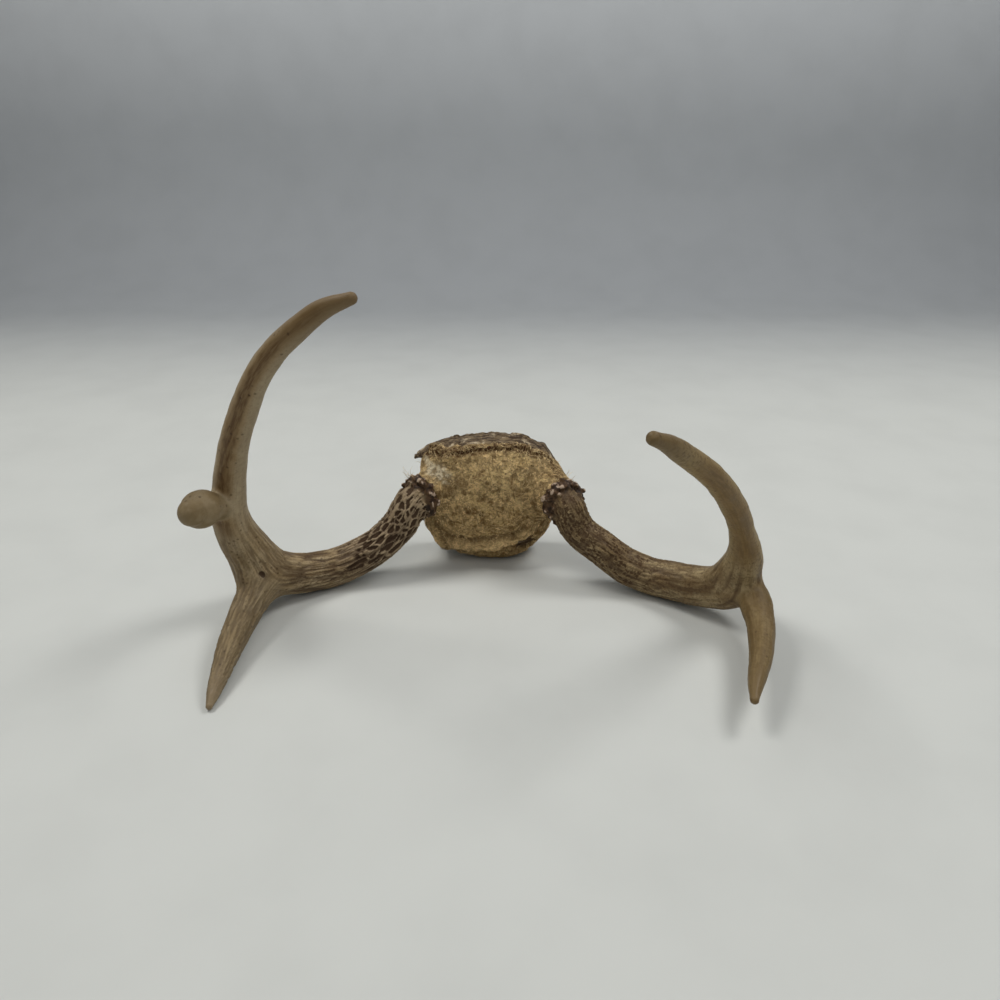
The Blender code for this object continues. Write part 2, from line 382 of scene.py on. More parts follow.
# %% [markdown]
# ## Raw shape of an antler
# Each line gets a tapered tube with rounded ends.  A tube alone would meet its neighbour in a
# hard crease, so the tubes are only the start: they are remeshed as one skin of small even faces,
# and then that skin is pulled onto a formula in which the branches melt into each other.
# Where two branches meet, bone fills the corner, and the formula's reach says how much.

# %% Tubes and skins
SIDES = 28
ROUND_END = [math.radians(a) for a in (75, 50, 25)]    # latitudes of a rounded end
SKIN = 0.00064          # m, size of the skin's faces


def mesh_of(name, points, faces):
    mesh = bpy.data.meshes.new(name)
    mesh.from_pydata([tuple(p) for p in points], [], faces)
    mesh.update()
    return mesh


def grid_faces(across, up):
    """Faces of a grid of points, closed both ways."""
    return [(i * up + k, i * up + (k + 1) % up, (i + 1) % across * up + (k + 1) % up,
             (i + 1) % across * up + k) for i in range(across) for k in range(up)]


def tube(run, flat_start=False):
    """Points and faces of a closed tapered tube with rounded ends."""
    rings = []
    if not flat_start:
        rings += [(run.points[0] - run.tangent[0] * run.radius[0] * math.sin(a),
                   run.radius[0] * math.cos(a), 0) for a in ROUND_END]
    rings += [(run.points[i], run.radius[i], i) for i in range(0, len(run.points), 2)]
    last = len(run.points) - 1
    rings += [(run.points[last] + run.tangent[last] * run.radius[last] * math.sin(a),
               run.radius[last] * math.cos(a), last) for a in reversed(ROUND_END)]
    turns = np.linspace(0, 2 * np.pi, SIDES, endpoint=False)
    points = [centre + radius * (math.cos(t) * run.side[i] + math.sin(t) * run.other[i])
              for centre, radius, i in rings for t in turns]
    faces = grid_faces(len(rings), SIDES)[:-SIDES]
    faces.append(tuple(reversed(range(SIDES))))
    faces.append(tuple(range((len(rings) - 1) * SIDES, len(rings) * SIDES)))
    return points, faces


def closed_up(name, bm):
    """The bmesh as a mesh whose faces point outwards."""
    bmesh.ops.recalc_face_normals(bm, faces=bm.faces)
    mesh = bpy.data.meshes.new(name)
    bm.to_mesh(mesh)
    bm.free()
    return mesh


def joined(name, parts):
    """One mesh from several (points, faces) or meshes, overlapping where they meet."""
    bm = bmesh.new()
    for part in parts:
        mesh = part if isinstance(part, bpy.types.Mesh) else mesh_of("part", *part)
        bm.from_mesh(mesh)
    return closed_up(name, bm)


def plain_copy(piece):
    """The piece's mesh as its modifiers leave it; the modifiers are then dropped."""
    bpy.context.view_layer.update()
    shown = piece.evaluated_get(bpy.context.evaluated_depsgraph_get())
    mesh = bpy.data.meshes.new_from_object(shown)
    piece.modifiers.clear()
    return mesh


def even_skin(name, mesh, size):
    """A single closed skin of even faces round everything in the mesh."""
    piece = placed(name, mesh)
    remesh = piece.modifiers.new("skin", "REMESH")
    remesh.mode = "VOXEL"
    remesh.voxel_size = size
    remesh.use_smooth_shade = True
    piece.data = plain_copy(piece)
    return piece


def rows_of(items, key):
    flat = np.empty(len(items) * 3)
    items.foreach_get(key, flat)
    return flat.reshape(-1, 3)


def points_of(mesh):
    return rows_of(mesh.vertices, "co")


def normals_of(mesh):
    return rows_of(mesh.vertex_normals, "vector")


def set_points(mesh, points):
    mesh.vertices.foreach_set("co", np.asarray(points, np.float32).ravel())
    mesh.update()


def keep(mesh, **values):
    """Store numbers or vectors at every point of the mesh, each under its name."""
    for name, value in values.items():
        value = np.asarray(value, np.float32)
        kind, key = ("FLOAT_VECTOR", "vector") if value.ndim == 2 else ("FLOAT", "value")
        mesh.attributes.new(name, kind, "POINT").data.foreach_set(key, value.ravel())


def neighbour_average(mesh, values, rounds):
    """Values evened out with their neighbours along the mesh's edges."""
    edges = np.empty(len(mesh.edges) * 2, int)
    mesh.edges.foreach_get("vertices", edges)
    a, b = edges[::2], edges[1::2]
    count = np.bincount(edges, minlength=len(values)).astype(float)
    for _ in range(rounds):
        total = np.zeros_like(values)
        np.add.at(total, a, values[b])
        np.add.at(total, b, values[a])
        values = 0.5 * values + 0.5 * total / (count[:, None] if values.ndim == 2 else count)
    return values


print("tube sides", SIDES, "skin faces", SKIN / MM, "mm")

# %% [markdown]
# ## Random but repeatable lumps
# Grown and weathered things need unevenness that is the same on every run.  A value is fixed at
# each corner of a grid by scrambling the corner's own numbers, and blended in between.

# %% Lumps
def lumps(where, size, seed):
    """Smooth values from -1 to 1; the lumps' size is in the unit of the places."""
    grid = where / size + 1000.5 + seed * 7.31
    cell = np.floor(grid).astype(np.int64)
    t = grid - cell
    t = t * t * (3 - 2 * t)
    total = np.zeros(len(where))
    for corner in itertools.product((0, 1), repeat=3):
        key = cell + np.array(corner)
        mix = (key[:, 0] * 73856093) ^ (key[:, 1] * 19349663) ^ (key[:, 2] * 83492791)
        mix = (mix ^ (seed * 2654435)) & 0x7FFFFFFF
        mix = (mix * 1103515245 + 12345) & 0x7FFFFFFF
        mix = ((mix >> 8) * 22695477 + 1) & 0x7FFFFFFF
        weight = np.prod(np.where(np.array(corner) == 1, t, 1 - t), axis=1)
        total += weight * (mix / 0x3FFFFFFF - 1)
    return total


def layered(where, *layers):
    """Lumps of several sizes on each other; a layer has its height, size and seed."""
    return sum(high * lumps(where, size, seed) for high, size, seed in layers)


def step_up(values, low, high):
    """0 below low, 1 above high, smooth between."""
    t = np.clip((values - low) / (high - low), 0, 1)
    return t * t * (3 - 2 * t)


sample = lumps(np.random.default_rng(1).random((4000, 3)), 0.1, 3)
print("lumps run from %.2f to %.2f" % (sample.min(), sample.max()))

# %% [markdown]
# ## Burr pearls
# The foot of an antler is a ring of bone, the burr, set with small round pearls.  They could be
# placed by hand, but they repeat round a circle, so Geometry Nodes sets them: a circle of points,
# a small ball on each, with its own size and a little wander.  The balls then melt into the skin.

# %% Pearl ring tree
SOCKETS = {"Geometry": "Geometry", "Finish": "Material", "Vector": "Vector"}


def new_tree(kind, name, inputs, output="Geometry"):
    """A node group with named inputs and their defaults, and one named output."""
    tree = bpy.data.node_groups.new(name, kind)
    for label, default in inputs.items():
        number = "Int" if isinstance(default, int) else "Float"
        socket = tree.interface.new_socket(label, in_out="INPUT",
                                           socket_type="NodeSocket" + SOCKETS.get(label, number))
        if default is not None:
            socket.default_value = default
    tree.interface.new_socket(output, in_out="OUTPUT",
                              socket_type="NodeSocket" + SOCKETS.get(output, "Float"))
    return tree, tree.nodes.new("NodeGroupInput").outputs, tree.nodes.new("NodeGroupOutput")


def ended(tree, given, result, flow):
    """Turn instances into real geometry, give it its finish and end the tree."""
    flow = put(tree, "GeometryNodeRealizeInstances", {0: flow}).outputs[0]
    flow = put(tree, "GeometryNodeSetMaterial", {0: flow, "Material": given["Finish"]}).outputs[0]
    fill(tree, result, {"Geometry": flow})
    return tree


def pearl_tree():
    tree, given, result = new_tree("GeometryNodeTree", "pearl ring", {
        "Count": 24, "Ring Radius": 0.011, "Smallest": 0.0011, "Largest": 0.0021,
        "Wander": 0.0008, "Seed": 1, "Finish": None})
    circle = put(tree, "GeometryNodeMeshCircle", {"Vertices": given["Count"],
                 "Radius": given["Ring Radius"]}).outputs[0]
    back, reach = [scaled(tree, (way, way, way), given["Wander"]) for way in (-1, 1)]
    shift = put(tree, "FunctionNodeRandomValue", {0: back, 1: reach, "Seed": given["Seed"]},
                data_type="FLOAT_VECTOR").outputs[0]
    flow = put(tree, "GeometryNodeSetPosition", {0: circle, "Offset": shift}).outputs[0]
    ball = put(tree, "GeometryNodeMeshIcoSphere", {"Radius": 1.0, "Subdivisions": 2}).outputs[0]
    size = put(tree, "FunctionNodeRandomValue", {2: given["Smallest"], 3: given["Largest"],
               "Seed": calc(tree, "ADD", given["Seed"], 7)}, data_type="FLOAT").outputs[1]
    flow = put(tree, "GeometryNodeInstanceOnPoints", {"Points": flow, "Instance": ball,
               "Scale": size}).outputs[0]
    return ended(tree, given, result, flow)


def run_tree(tree, mesh, **inputs):
    """Run a Geometry Nodes tree on a mesh and return the plain result."""
    piece = placed("work", mesh)
    step = piece.modifiers.new(tree.name, "NODES")
    step.node_group = tree
    sockets = {s.name: s.identifier for s in tree.interface.items_tree if s.in_out == "INPUT"}
    for name, value in inputs.items():
        step[sockets[name.replace("_", " ")]] = value
    result = plain_copy(piece)
    bpy.data.objects.remove(piece)
    return result


PEARLS = pearl_tree()
RAW_BONE = bpy.data.materials.new("raw bone")
BURR_RADIUS = 11.0      # mm, middle of the ring
BURR_CORE = (2.4, 3.4)  # mm, half thickness outwards and along the beam
BURR_LIFT = 3.9         # mm, from the seam to the ring's middle
BURR_SWELL, BURR_KNOBS = 0.05, 9
CORE_GRID = (48, 12)    # faces round the ring and round its tube
# count, ring radius, height over the seam, smallest, largest, wander, seed
LEFT_PEARLS = [(15, 12.8, 2.4, 1.3, 2.7, 1.3, 3), (14, 12.6, 6.2, 1.1, 2.5, 1.5, 11),
               (13, 11.4, 9.8, 0.8, 1.9, 1.7, 19), (10, 10.7, 13.4, 0.6, 1.5, 2.0, 29)]
RIGHT_PEARLS = [(15, 12.4, 2.4, 1.5, 2.8, 0.9, 5), (13, 12.1, 6.2, 1.3, 2.6, 1.0, 13),
                (12, 11.2, 9.6, 0.8, 1.9, 1.7, 23), (9, 10.5, 13.0, 0.6, 1.4, 2.0, 37)]


def burr_parts(seam, way, values):
    """The ring core and its pearls, placed on the seam."""
    parts = []
    turn = Vector(way).to_track_quat("Z", "Y").to_matrix().to_4x4()
    turn.translation = Vector(seam)
    for count, radius, height, small, large, wander, seed in values:
        ring = run_tree(PEARLS, bpy.data.meshes.new("pearls"), Count=count,
                        Ring_Radius=radius * MM, Smallest=small * MM, Largest=large * MM,
                        Wander=wander * MM, Seed=seed, Finish=RAW_BONE)
        ring.transform(Matrix.Translation((0, 0, height * MM)))
        parts.append(ring)
    points = []
    for a in np.arange(CORE_GRID[0]) * 2 * math.pi / CORE_GRID[0]:
        for b in np.arange(CORE_GRID[1]) * 2 * math.pi / CORE_GRID[1]:
            far = BURR_RADIUS * (1 + BURR_SWELL * math.cos(BURR_KNOBS * a))
            far += BURR_CORE[0] * math.cos(b)
            points.append(np.array([math.cos(a) * far, math.sin(a) * far,
                                    BURR_CORE[1] * math.sin(b) + BURR_LIFT]) * MM)
    parts.append(mesh_of("core", points, grid_faces(*CORE_GRID)))
    for part in parts:
        part.transform(turn)
    return parts


print("pearl tree with inputs:", ", ".join(s.name for s in PEARLS.interface.items_tree))

# %% [markdown]
# ## The antler's skin
# Tubes, burr and pearls become one skin, which is pulled onto the melted formula.  The burr keeps
# its pearls, so the pull fades out there.  Each point then remembers where it lies: how far along
# the branch, how far round it, and how near a tip, the burr or the fork.  The surface detail and
# the colours both read these.

# %% Skins of both antlers
NUB_MELT, WEB_MELT = 0.004, 0.008
NUB_START = 0.5               # m, keeps the nub's places apart from the tine's
BURR_REACH = (0.009, 0.016)   # m, height at which the pull onto the formula starts and is full
BURR_SIDE = (0.020, 0.026)    # m, the same as a distance from the seam
PULL_ROUNDS, RELAX_ROUNDS = 4, 2
RELAX = (0.15, 0.6)           # how far the skin is evened out everywhere, and more past the burr
KNOBS = ((0.5, 0.0042, 15), (0.45, 0.0019, 16))    # height in mm, size in m, seed


def melted(runs, where):
    """The melted surface's distance and way out, with the share of the side branch."""
    place, gap, out, turn = runs["main"].near(where)
    share = np.zeros(len(where))
    side_place, side_turn, side_gap = np.zeros(len(where)), np.zeros(len(where)), gap + 1
    for name in ("web", "tine", "nub"):
        if name not in runs:
            continue
        own_place, own_gap, own_out, own_turn = runs[name].near(where)
        reach = {"web": WEB_MELT, "nub": NUB_MELT}.get(name, runs["tine"].melt)
        t = np.clip(0.5 + 0.5 * (gap - own_gap) / reach, 0, 1)
        gap = gap * (1 - t) + own_gap * t - reach * t * (1 - t)
        out = out * (1 - t[:, None]) + own_out * t[:, None]
        if name != "web":
            share = np.maximum(share * (1 - t), t)
            closer = own_gap < side_gap
            side_place = np.where(closer, own_place + NUB_START * (name == "nub"), side_place)
            side_turn = np.where(closer, own_turn, side_turn)
            side_gap = np.minimum(side_gap, own_gap)
    out /= np.linalg.norm(out, axis=1)[:, None] + 1e-9
    return gap, out, place, turn, share, side_place, side_turn


def antler_skin(name, data, pearls):
    runs, seam, way = lines_of(data)
    parts = [tube(runs["main"], flat_start=True)]
    parts += [tube(runs[branch]) for branch in ("tine", "nub", "web") if branch in runs]
    parts += burr_parts(seam, way, pearls)
    piece = even_skin(name, joined(name, parts), SKIN)
    points = points_of(piece.data)
    for _ in range(PULL_ROUNDS):
        gap, out = melted(runs, points)[:2]
        height = (points - seam) @ way
        far = np.linalg.norm(points - seam, axis=1)
        pull = np.maximum(step_up(height, *BURR_REACH), step_up(far, *BURR_SIDE))
        points = points - out * (gap * pull)[:, None]
    relaxed = neighbour_average(piece.data, points, RELAX_ROUNDS)
    points = points + (relaxed - points) * (RELAX[1] * pull + RELAX[0])[:, None]
    set_points(piece.data, points)
    knobby = layered(points, *KNOBS)
    fade = (1 - step_up(height, 11 * MM, 20 * MM)) * (1 - step_up(far, 0.021, 0.028))
    points = points + normals_of(piece.data) * (knobby * fade * MM)[:, None]
    set_points(piece.data, points)
    return piece


left_antler = antler_skin("left_antler", LEFT, LEFT_PEARLS)
right_antler = antler_skin("right_antler", RIGHT, RIGHT_PEARLS)
for piece in (left_antler, right_antler):
    print(piece.name, len(piece.data.polygons) * 2, "triangles")

# %% [markdown]
# ## Where every point lies
# Colour and relief both need to know where on the antler they are.  A grain position wraps the
# branch like paper round a stick: two numbers go round it, the third runs along it, so patterns
# stretch along the bone and never show a seam.  Masks mark the pitted stretch next to the burr,
# the grooved middle, the tips, the fork and a brown stain in a shallow flute.

# %% Places and masks
GRAIN_RADIUS = {"main": 10.5, "side": 7.5}     # mm, an even radius, so grain is not stretched
BULGE_ROUNDS = 40       # rounds that smooth the pearls away, to see how far they stand out


def grain_place(turn, along, radius):
    return np.column_stack([np.cos(turn) * radius * MM, np.sin(turn) * radius * MM, along])


def bump_at(points, centre, size):
    """1 at a place in millimetres, fading to 0 at the given size."""
    far = np.linalg.norm(points - np.array(centre) * MM, axis=1)
    far = far * (1 + 0.45 * lumps(points, 0.0016, 5))
    return 1 - step_up(far, 0.2 * size * MM, size * MM)


def between(values, start, full, fall, end):
    """A mask that rises from start to full and falls from fall to end."""
    return step_up(values, start, full) * (1 - step_up(values, fall, end))


def burr_masks(points, seam, way, out, mesh):
    """Dirt round the burr, and the pearls that stand out of it."""
    height = ((points - seam) @ way) / MM
    far = np.linalg.norm(points - seam, axis=1) / MM
    ragged = layered(points, (2.6, 0.0065, 17), (1.6, 0.0026, 18))
    burr = (1 - step_up(height + ragged, 7.5, 13.5)) * (1 - step_up(far, 20.0, 23.0))
    ring = points - seam - way * (BURR_LIFT * MM)
    rise = ring @ way
    flat = np.linalg.norm(ring - np.outer(rise, way), axis=1)
    core = np.hypot((flat - BURR_RADIUS * MM) / BURR_CORE[0], rise / BURR_CORE[1]) / MM
    bulge = np.einsum("ij,ij->i", points - neighbour_average(mesh, points, BULGE_ROUNDS), out) / MM
    pearl = step_up(bulge, 0.24, 0.52) * step_up(core, 0.9, 1.2) * (1 - step_up(height, 16, 19))
    return burr, pearl


def stain_masks(points, place, out, main, wish):
    """The brown stain in the flute, and the softer tint that runs out beside it."""
    toward = np.array(wish["stain_side"]) - points
    tangent = main.tangent[np.clip((place / RUN_STEP).astype(int), 0, len(main.tangent) - 1)]
    toward -= tangent * np.einsum("ij,ij->i", toward, tangent)[:, None]
    toward /= np.linalg.norm(toward, axis=1)[:, None]
    facing = np.einsum("ij,ij->i", toward, out)
    facing += layered(points, (0.05, 0.016, 8), (0.05, 0.004, 9))
    low, high = wish["stain_width"]
    reach = between(place / MM, *wish["stain"])
    return step_up(facing, low, high) * reach, step_up(facing, low - 0.3, high) * reach


def antler_masks(piece, data, wish):
    runs, seam, way = lines_of(data)
    mesh, main = piece.data, runs["main"]
    points = points_of(mesh)
    out, place, turn, share, side_place, side_turn = melted(runs, points)[1:]
    along, side_along = place / MM, side_place / MM
    on_side = step_up(share, 0.35, 0.75)
    own, on_tine = 1 - on_side, on_side * (side_place < NUB_START - 0.1)
    burr, pearl = burr_masks(points, seam, way, out, mesh)
    uneven_edge = np.clip(1.1 + 0.3 * lumps(points, 0.016, 4), 0, 1.2)
    pit_zone = (between(along, 6, 10, *wish["pit_end"]) * own * uneven_edge).clip(0, 1)
    groove = np.interp(along, *wish["groove"]) * own
    groove += on_side * np.interp(side_along, *wish["side_groove"])
    stain, tint = stain_masks(points, place, out, main, wish)
    end, tine_end = main.length / MM, runs["tine"].length / MM
    marks = stain * own * wish["flute"]
    for centre, size, depth in wish["marks"]:
        marks += bump_at(points, centre, size) * depth
    for level, depth, width in wish["rings"]:
        shift = side_along - level + 0.9 * lumps(points, 0.004, 12)
        line = np.exp(-(shift / width) ** 2) * on_tine
        marks += line * depth * step_up(lumps(points, 0.006, 31) + 0.55, 0, 0.5)
    keep(mesh, grain=grain_place(turn, place, GRAIN_RADIUS["main"]),
         side_grain=grain_place(side_turn, side_place + 1, GRAIN_RADIUS["side"]),
         side_share=on_side, burr=burr, pearl=pearl, pit_zone=pit_zone * wish["pit_share"],
         pit_run=np.interp(along, *wish["pit_run"]), groove_zone=groove.clip(0, 1),
         stain=stain * own, stain_tint=tint * own,
         tip=step_up(along, end - wish["tip_run"], end - 4) * own,
         side_tip=on_tine * step_up(side_along, tine_end - 24, tine_end),
         nub=on_side - on_tine, marks=marks * MM, upper=step_up(along, 135, 185))


# Lengths in mm along a line, shares from 0 to 1; marks: place, size and depth of dents and knots
LEFT_WISH = {
    "tip_run": 70, "pit_share": 1.0, "pit_end": (40, 84),
    "pit_run": ([0, 12, 30, 60, 120, 400], [0, 2.9, 6.2, 9.2, 12.2, 21]),
    "groove": ([0, 18, 34, 90, 118, 150, 175, 400], [0.3, 0.45, 1, 1, 0.62, 0.4, 0.12, 0.06]),
    "side_groove": ([0, 20, 75, 90, 400], [0.6, 0.95, 0.7, 0.3, 0.05]),
    "stain": (150, 170, 300, 335), "stain_width": (0.86, 1.0), "flute": 0.25,
    "stain_side": (-0.13, -0.40, 0.25),
    "marks": [((-124, 0.5, 29.6), 2.7, 1.1), ((-121.5, 1.5, 31.5), 2.4, 0.5),
              ((-109.4, 14.7, 25.8), 2.2, 0.6), ((-111.5, 13, 27.5), 1.6, 0.4),
              ((-105.5, -31, 141.4), 1.5, 0.55), ((-110.1, -30.7, 142.9), 1.3, 0.4),
              ((-108, -31, 139), 1.1, 0.4)],
    "rings": [(71.5, 0.28, 0.55), (77.5, 0.22, 0.45)],
}
RIGHT_WISH = {
    "tip_run": 34, "pit_share": 0.62, "pit_end": (8, 150),
    "pit_run": ([0, 20, 60, 120, 400], [0, 9, 24, 42, 90]),
    "groove": ([0, 12, 30, 95, 125, 150, 400], [0.6, 0.9, 0.9, 0.6, 0.3, 0.12, 0.06]),
    "side_groove": ([0, 20, 75, 92, 400], [0.15, 0.3, 0.35, 0.2, 0.05]),
    "stain": (150, 170, 250, 275), "stain_width": (0.55, 0.95), "flute": 0.1,
    "stain_side": (0.007, -0.354, 0.248),
    "marks": [((118, -3.6, 20.7), 2.0, 0.9), ((131, -13, 36), 1.6, 0.5)],
    "rings": [],
}
antler_masks(left_antler, LEFT, LEFT_WISH)
antler_masks(right_antler, RIGHT, RIGHT_WISH)
print("masks:", ", ".join(a.name for a in left_antler.data.attributes if a.name[0] != "."))

# %% [markdown]
# ## Pits and grooves
# Next to the burr the blood vessels of the growing antler left long pits between raised walls;
# farther out they draw out into grooves.  They follow the grain and repeat all over, so a
# Geometry Nodes tree cuts them: cells stretched along the bone for the pits, drawn-out noise for
# the grooves.  What it cuts it also stores, so the paint settles in exactly the same hollows.

# %% Relief tree
def named(tree, name, kind="FLOAT"):
    """Read an attribute of the mesh inside a tree."""
    node = put(tree, "GeometryNodeInputNamedAttribute", {"Name": name}, data_type=kind)
    return next(o for o in node.outputs if o.enabled and o.name == "Attribute")


def stretched(tree, vector, width, length):
    """A grain position measured in widths round the branch and lengths along it."""
    parts = split(tree, vector)
    sized = [calc(tree, "DIVIDE", parts[i], width if i < 2 else length) for i in range(3)]
    return put(tree, "ShaderNodeCombineXYZ", dict(enumerate(sized))).outputs[0]


def drawn_lines(tree, vector, width, length, low=0.80, high=0.97):
    """Thin wandering lines along the grain, 1 in a line."""
    cloud = noise(tree, stretched(tree, vector, width, length), 1.0, 2.0)
    fold = calc(tree, "ABSOLUTE", calc(tree, "MULTIPLY_ADD", cloud, 2.0, -1.0))
    return ramp(tree, calc(tree, "SUBTRACT", 1.0, fold), low, high)


def uneven(tree, place, scale, detail, depth):
    """Noise round zero, as high as the depth."""
    cloud = calc(tree, "SUBTRACT", noise(tree, place, scale, detail), 0.5)
    return times(tree, cloud, depth)


def carved(tree, given, result, height, **cuts):
    """Store every cut as an attribute, move the surface by the height and end the tree."""
    way = scaled(tree, put(tree, "GeometryNodeInputNormal").outputs[0], height)
    flow = given["Geometry"]
    for name, value in cuts.items():
        flow = put(tree, "GeometryNodeStoreNamedAttribute", {0: flow, "Name": name,
                   "Value": value}, data_type="FLOAT").outputs[0]
    flow = put(tree, "GeometryNodeSetPosition", {0: flow, "Offset": way}).outputs[0]
    return ended(tree, given, result, flow)


def relief_tree():
    tree, given, result = new_tree("GeometryNodeTree", "antler relief", {
        "Geometry": None, "Pit Depth": 0.0007, "Pit Width": 0.0026, "Groove Depth": 0.0004,
        "Groove Width": 0.0022, "Groove Length": 0.024, "Swell": 0.0005, "Grit": 0.00006,
        "Finish": None})
    grains = [named(tree, name, "FLOAT_VECTOR") for name in ("grain", "side_grain")]
    zone, groove_zone = named(tree, "pit_zone"), named(tree, "groove_zone")
    parts = split(tree, grains[0])
    cell_place = put(tree, "ShaderNodeCombineXYZ", {
        0: calc(tree, "DIVIDE", parts[0], given["Pit Width"]),
        1: calc(tree, "DIVIDE", parts[1], given["Pit Width"]),
        2: named(tree, "pit_run")}).outputs[0]
    wobble = put(tree, "ShaderNodeTexNoise", {"Vector": cell_place, "Scale": 1.3, "Detail": 1.0})
    bent = put(tree, "ShaderNodeVectorMath", {0: wobble.outputs[1], 1: (0.8, 0.8, 0.8),
               2: cell_place}, operation="MULTIPLY_ADD").outputs[0]
    walls, cells = [put(tree, "ShaderNodeTexVoronoi", {"Vector": bent, "Scale": 1.0,
                    "Randomness": 0.9}, feature=feature).outputs
                    for feature in ("DISTANCE_TO_EDGE", "F1")]
    round_pit = ramp(tree, cells["Distance"], 0.5, 0.78, 1.0, 0.0)
    opened = times(tree, ramp(tree, walls["Distance"], 0.06, 0.17), round_pit)
    needed = calc(tree, "MULTIPLY_ADD", zone, -0.95, 0.92)
    chance = calc(tree, "SUBTRACT", split(tree, cells["Color"])[0], needed)
    pit = times(tree, times(tree, opened, ramp(tree, chance, -0.06, 0.06)),
                ramp(tree, zone, 0.0, 0.5))

    def grooves(size, length, low, high):
        lines = [drawn_lines(tree, grain, times(tree, given["Groove Width"], size),
                             times(tree, given["Groove Length"], length), low, high)
                 for grain in grains]
        return times(tree, mixed(tree, named(tree, "side_share"), *lines), groove_zone)

    groove, fine_groove = grooves(1.0, 1.0, 0.80, 0.97), grooves(0.45, 0.6, 0.84, 0.98)
    place = put(tree, "GeometryNodeInputPosition").outputs[0]
    height = calc(tree, "ADD", uneven(tree, place, 75.0, 1.0, given["Swell"]),
                  uneven(tree, place, 900.0, 2.0, given["Grit"]))
    for cut, depth, share in ((pit, "Pit Depth", -1.0), (groove, "Groove Depth", -1.0),
                              (fine_groove, "Groove Depth", -0.4)):
        height = calc(tree, "MULTIPLY_ADD", cut, times(tree, given[depth], share), height)
    height = calc(tree, "SUBTRACT", height, named(tree, "marks"))
    return carved(tree, given, result, height, pit=pit, groove=groove, fine_groove=fine_groove)


RELIEF = relief_tree()
print("relief tree:", len(RELIEF.nodes), "nodes")

# %% [markdown]
# ## Effects that several finishes share
# Streaks along the grain, dark pores and cloudy mottling turn up on antler, bone and hide alike.
# Each is built once as a group with its own inputs and gives out only a number; every finish
# places it with its own sizes.

# %% Shared groups
def shared(name, output, inputs, pattern):
    """A shader group that gives out one number."""
    tree, given, result = new_tree("ShaderNodeTree", name, {"Vector": None, **inputs}, output)
    fill(tree, result, {output: pattern(tree, given)})
    return tree


def streaks(tree, given):
    place = stretched(tree, given["Vector"], given["Width"], given["Length"])
    return noise(tree, place, 1.0, given["Detail"], Roughness=0.6)


def pores(tree, given):
    place = stretched(tree, given["Vector"], given["Size"], given["Size"])
    spot = put(tree, "ShaderNodeTexVoronoi", {"Vector": place, "Scale": 1.0}).outputs
    chance = put(tree, "ShaderNodeSeparateColor", {0: spot["Color"]}).outputs[0]
    return times(tree, ramp(tree, spot["Distance"], 0.12, 0.42, 1.0, 0.0),
                 calc(tree, "LESS_THAN", chance, given["Chance"]))


def mottle(tree, given):
    place = stretched(tree, given["Vector"], given["Size"], given["Size"])
    cloud = noise(tree, place, 1.0, given["Detail"], Roughness=0.6, Distortion=0.4)
    return ramp(tree, cloud, given["Low"], given["High"])


STREAKS = shared("grain streaks", "Streak", {"Width": 0.001, "Length": 0.02, "Detail": 3.0},
                 streaks)
PORES = shared("dark pores", "Pore", {"Size": 0.001, "Chance": 0.3}, pores)
MOTTLE = shared("mottle", "Mottle", {"Size": 0.01, "Detail": 4.0, "Low": 0.35, "High": 0.65},
                mottle)
print("groups:", STREAKS.name, PORES.name, MOTTLE.name)

# %% [markdown]
# ## Antler finish
# Antler is matt bone stained by bark and soil.  It is pale where it was rubbed and brown where the
# stain stayed: in pits and grooves, along streaks, in the flute and round the burr's pearls.  The
# left antler is pale grey-tan with strong dark pits; the right one is an even speckled brown.

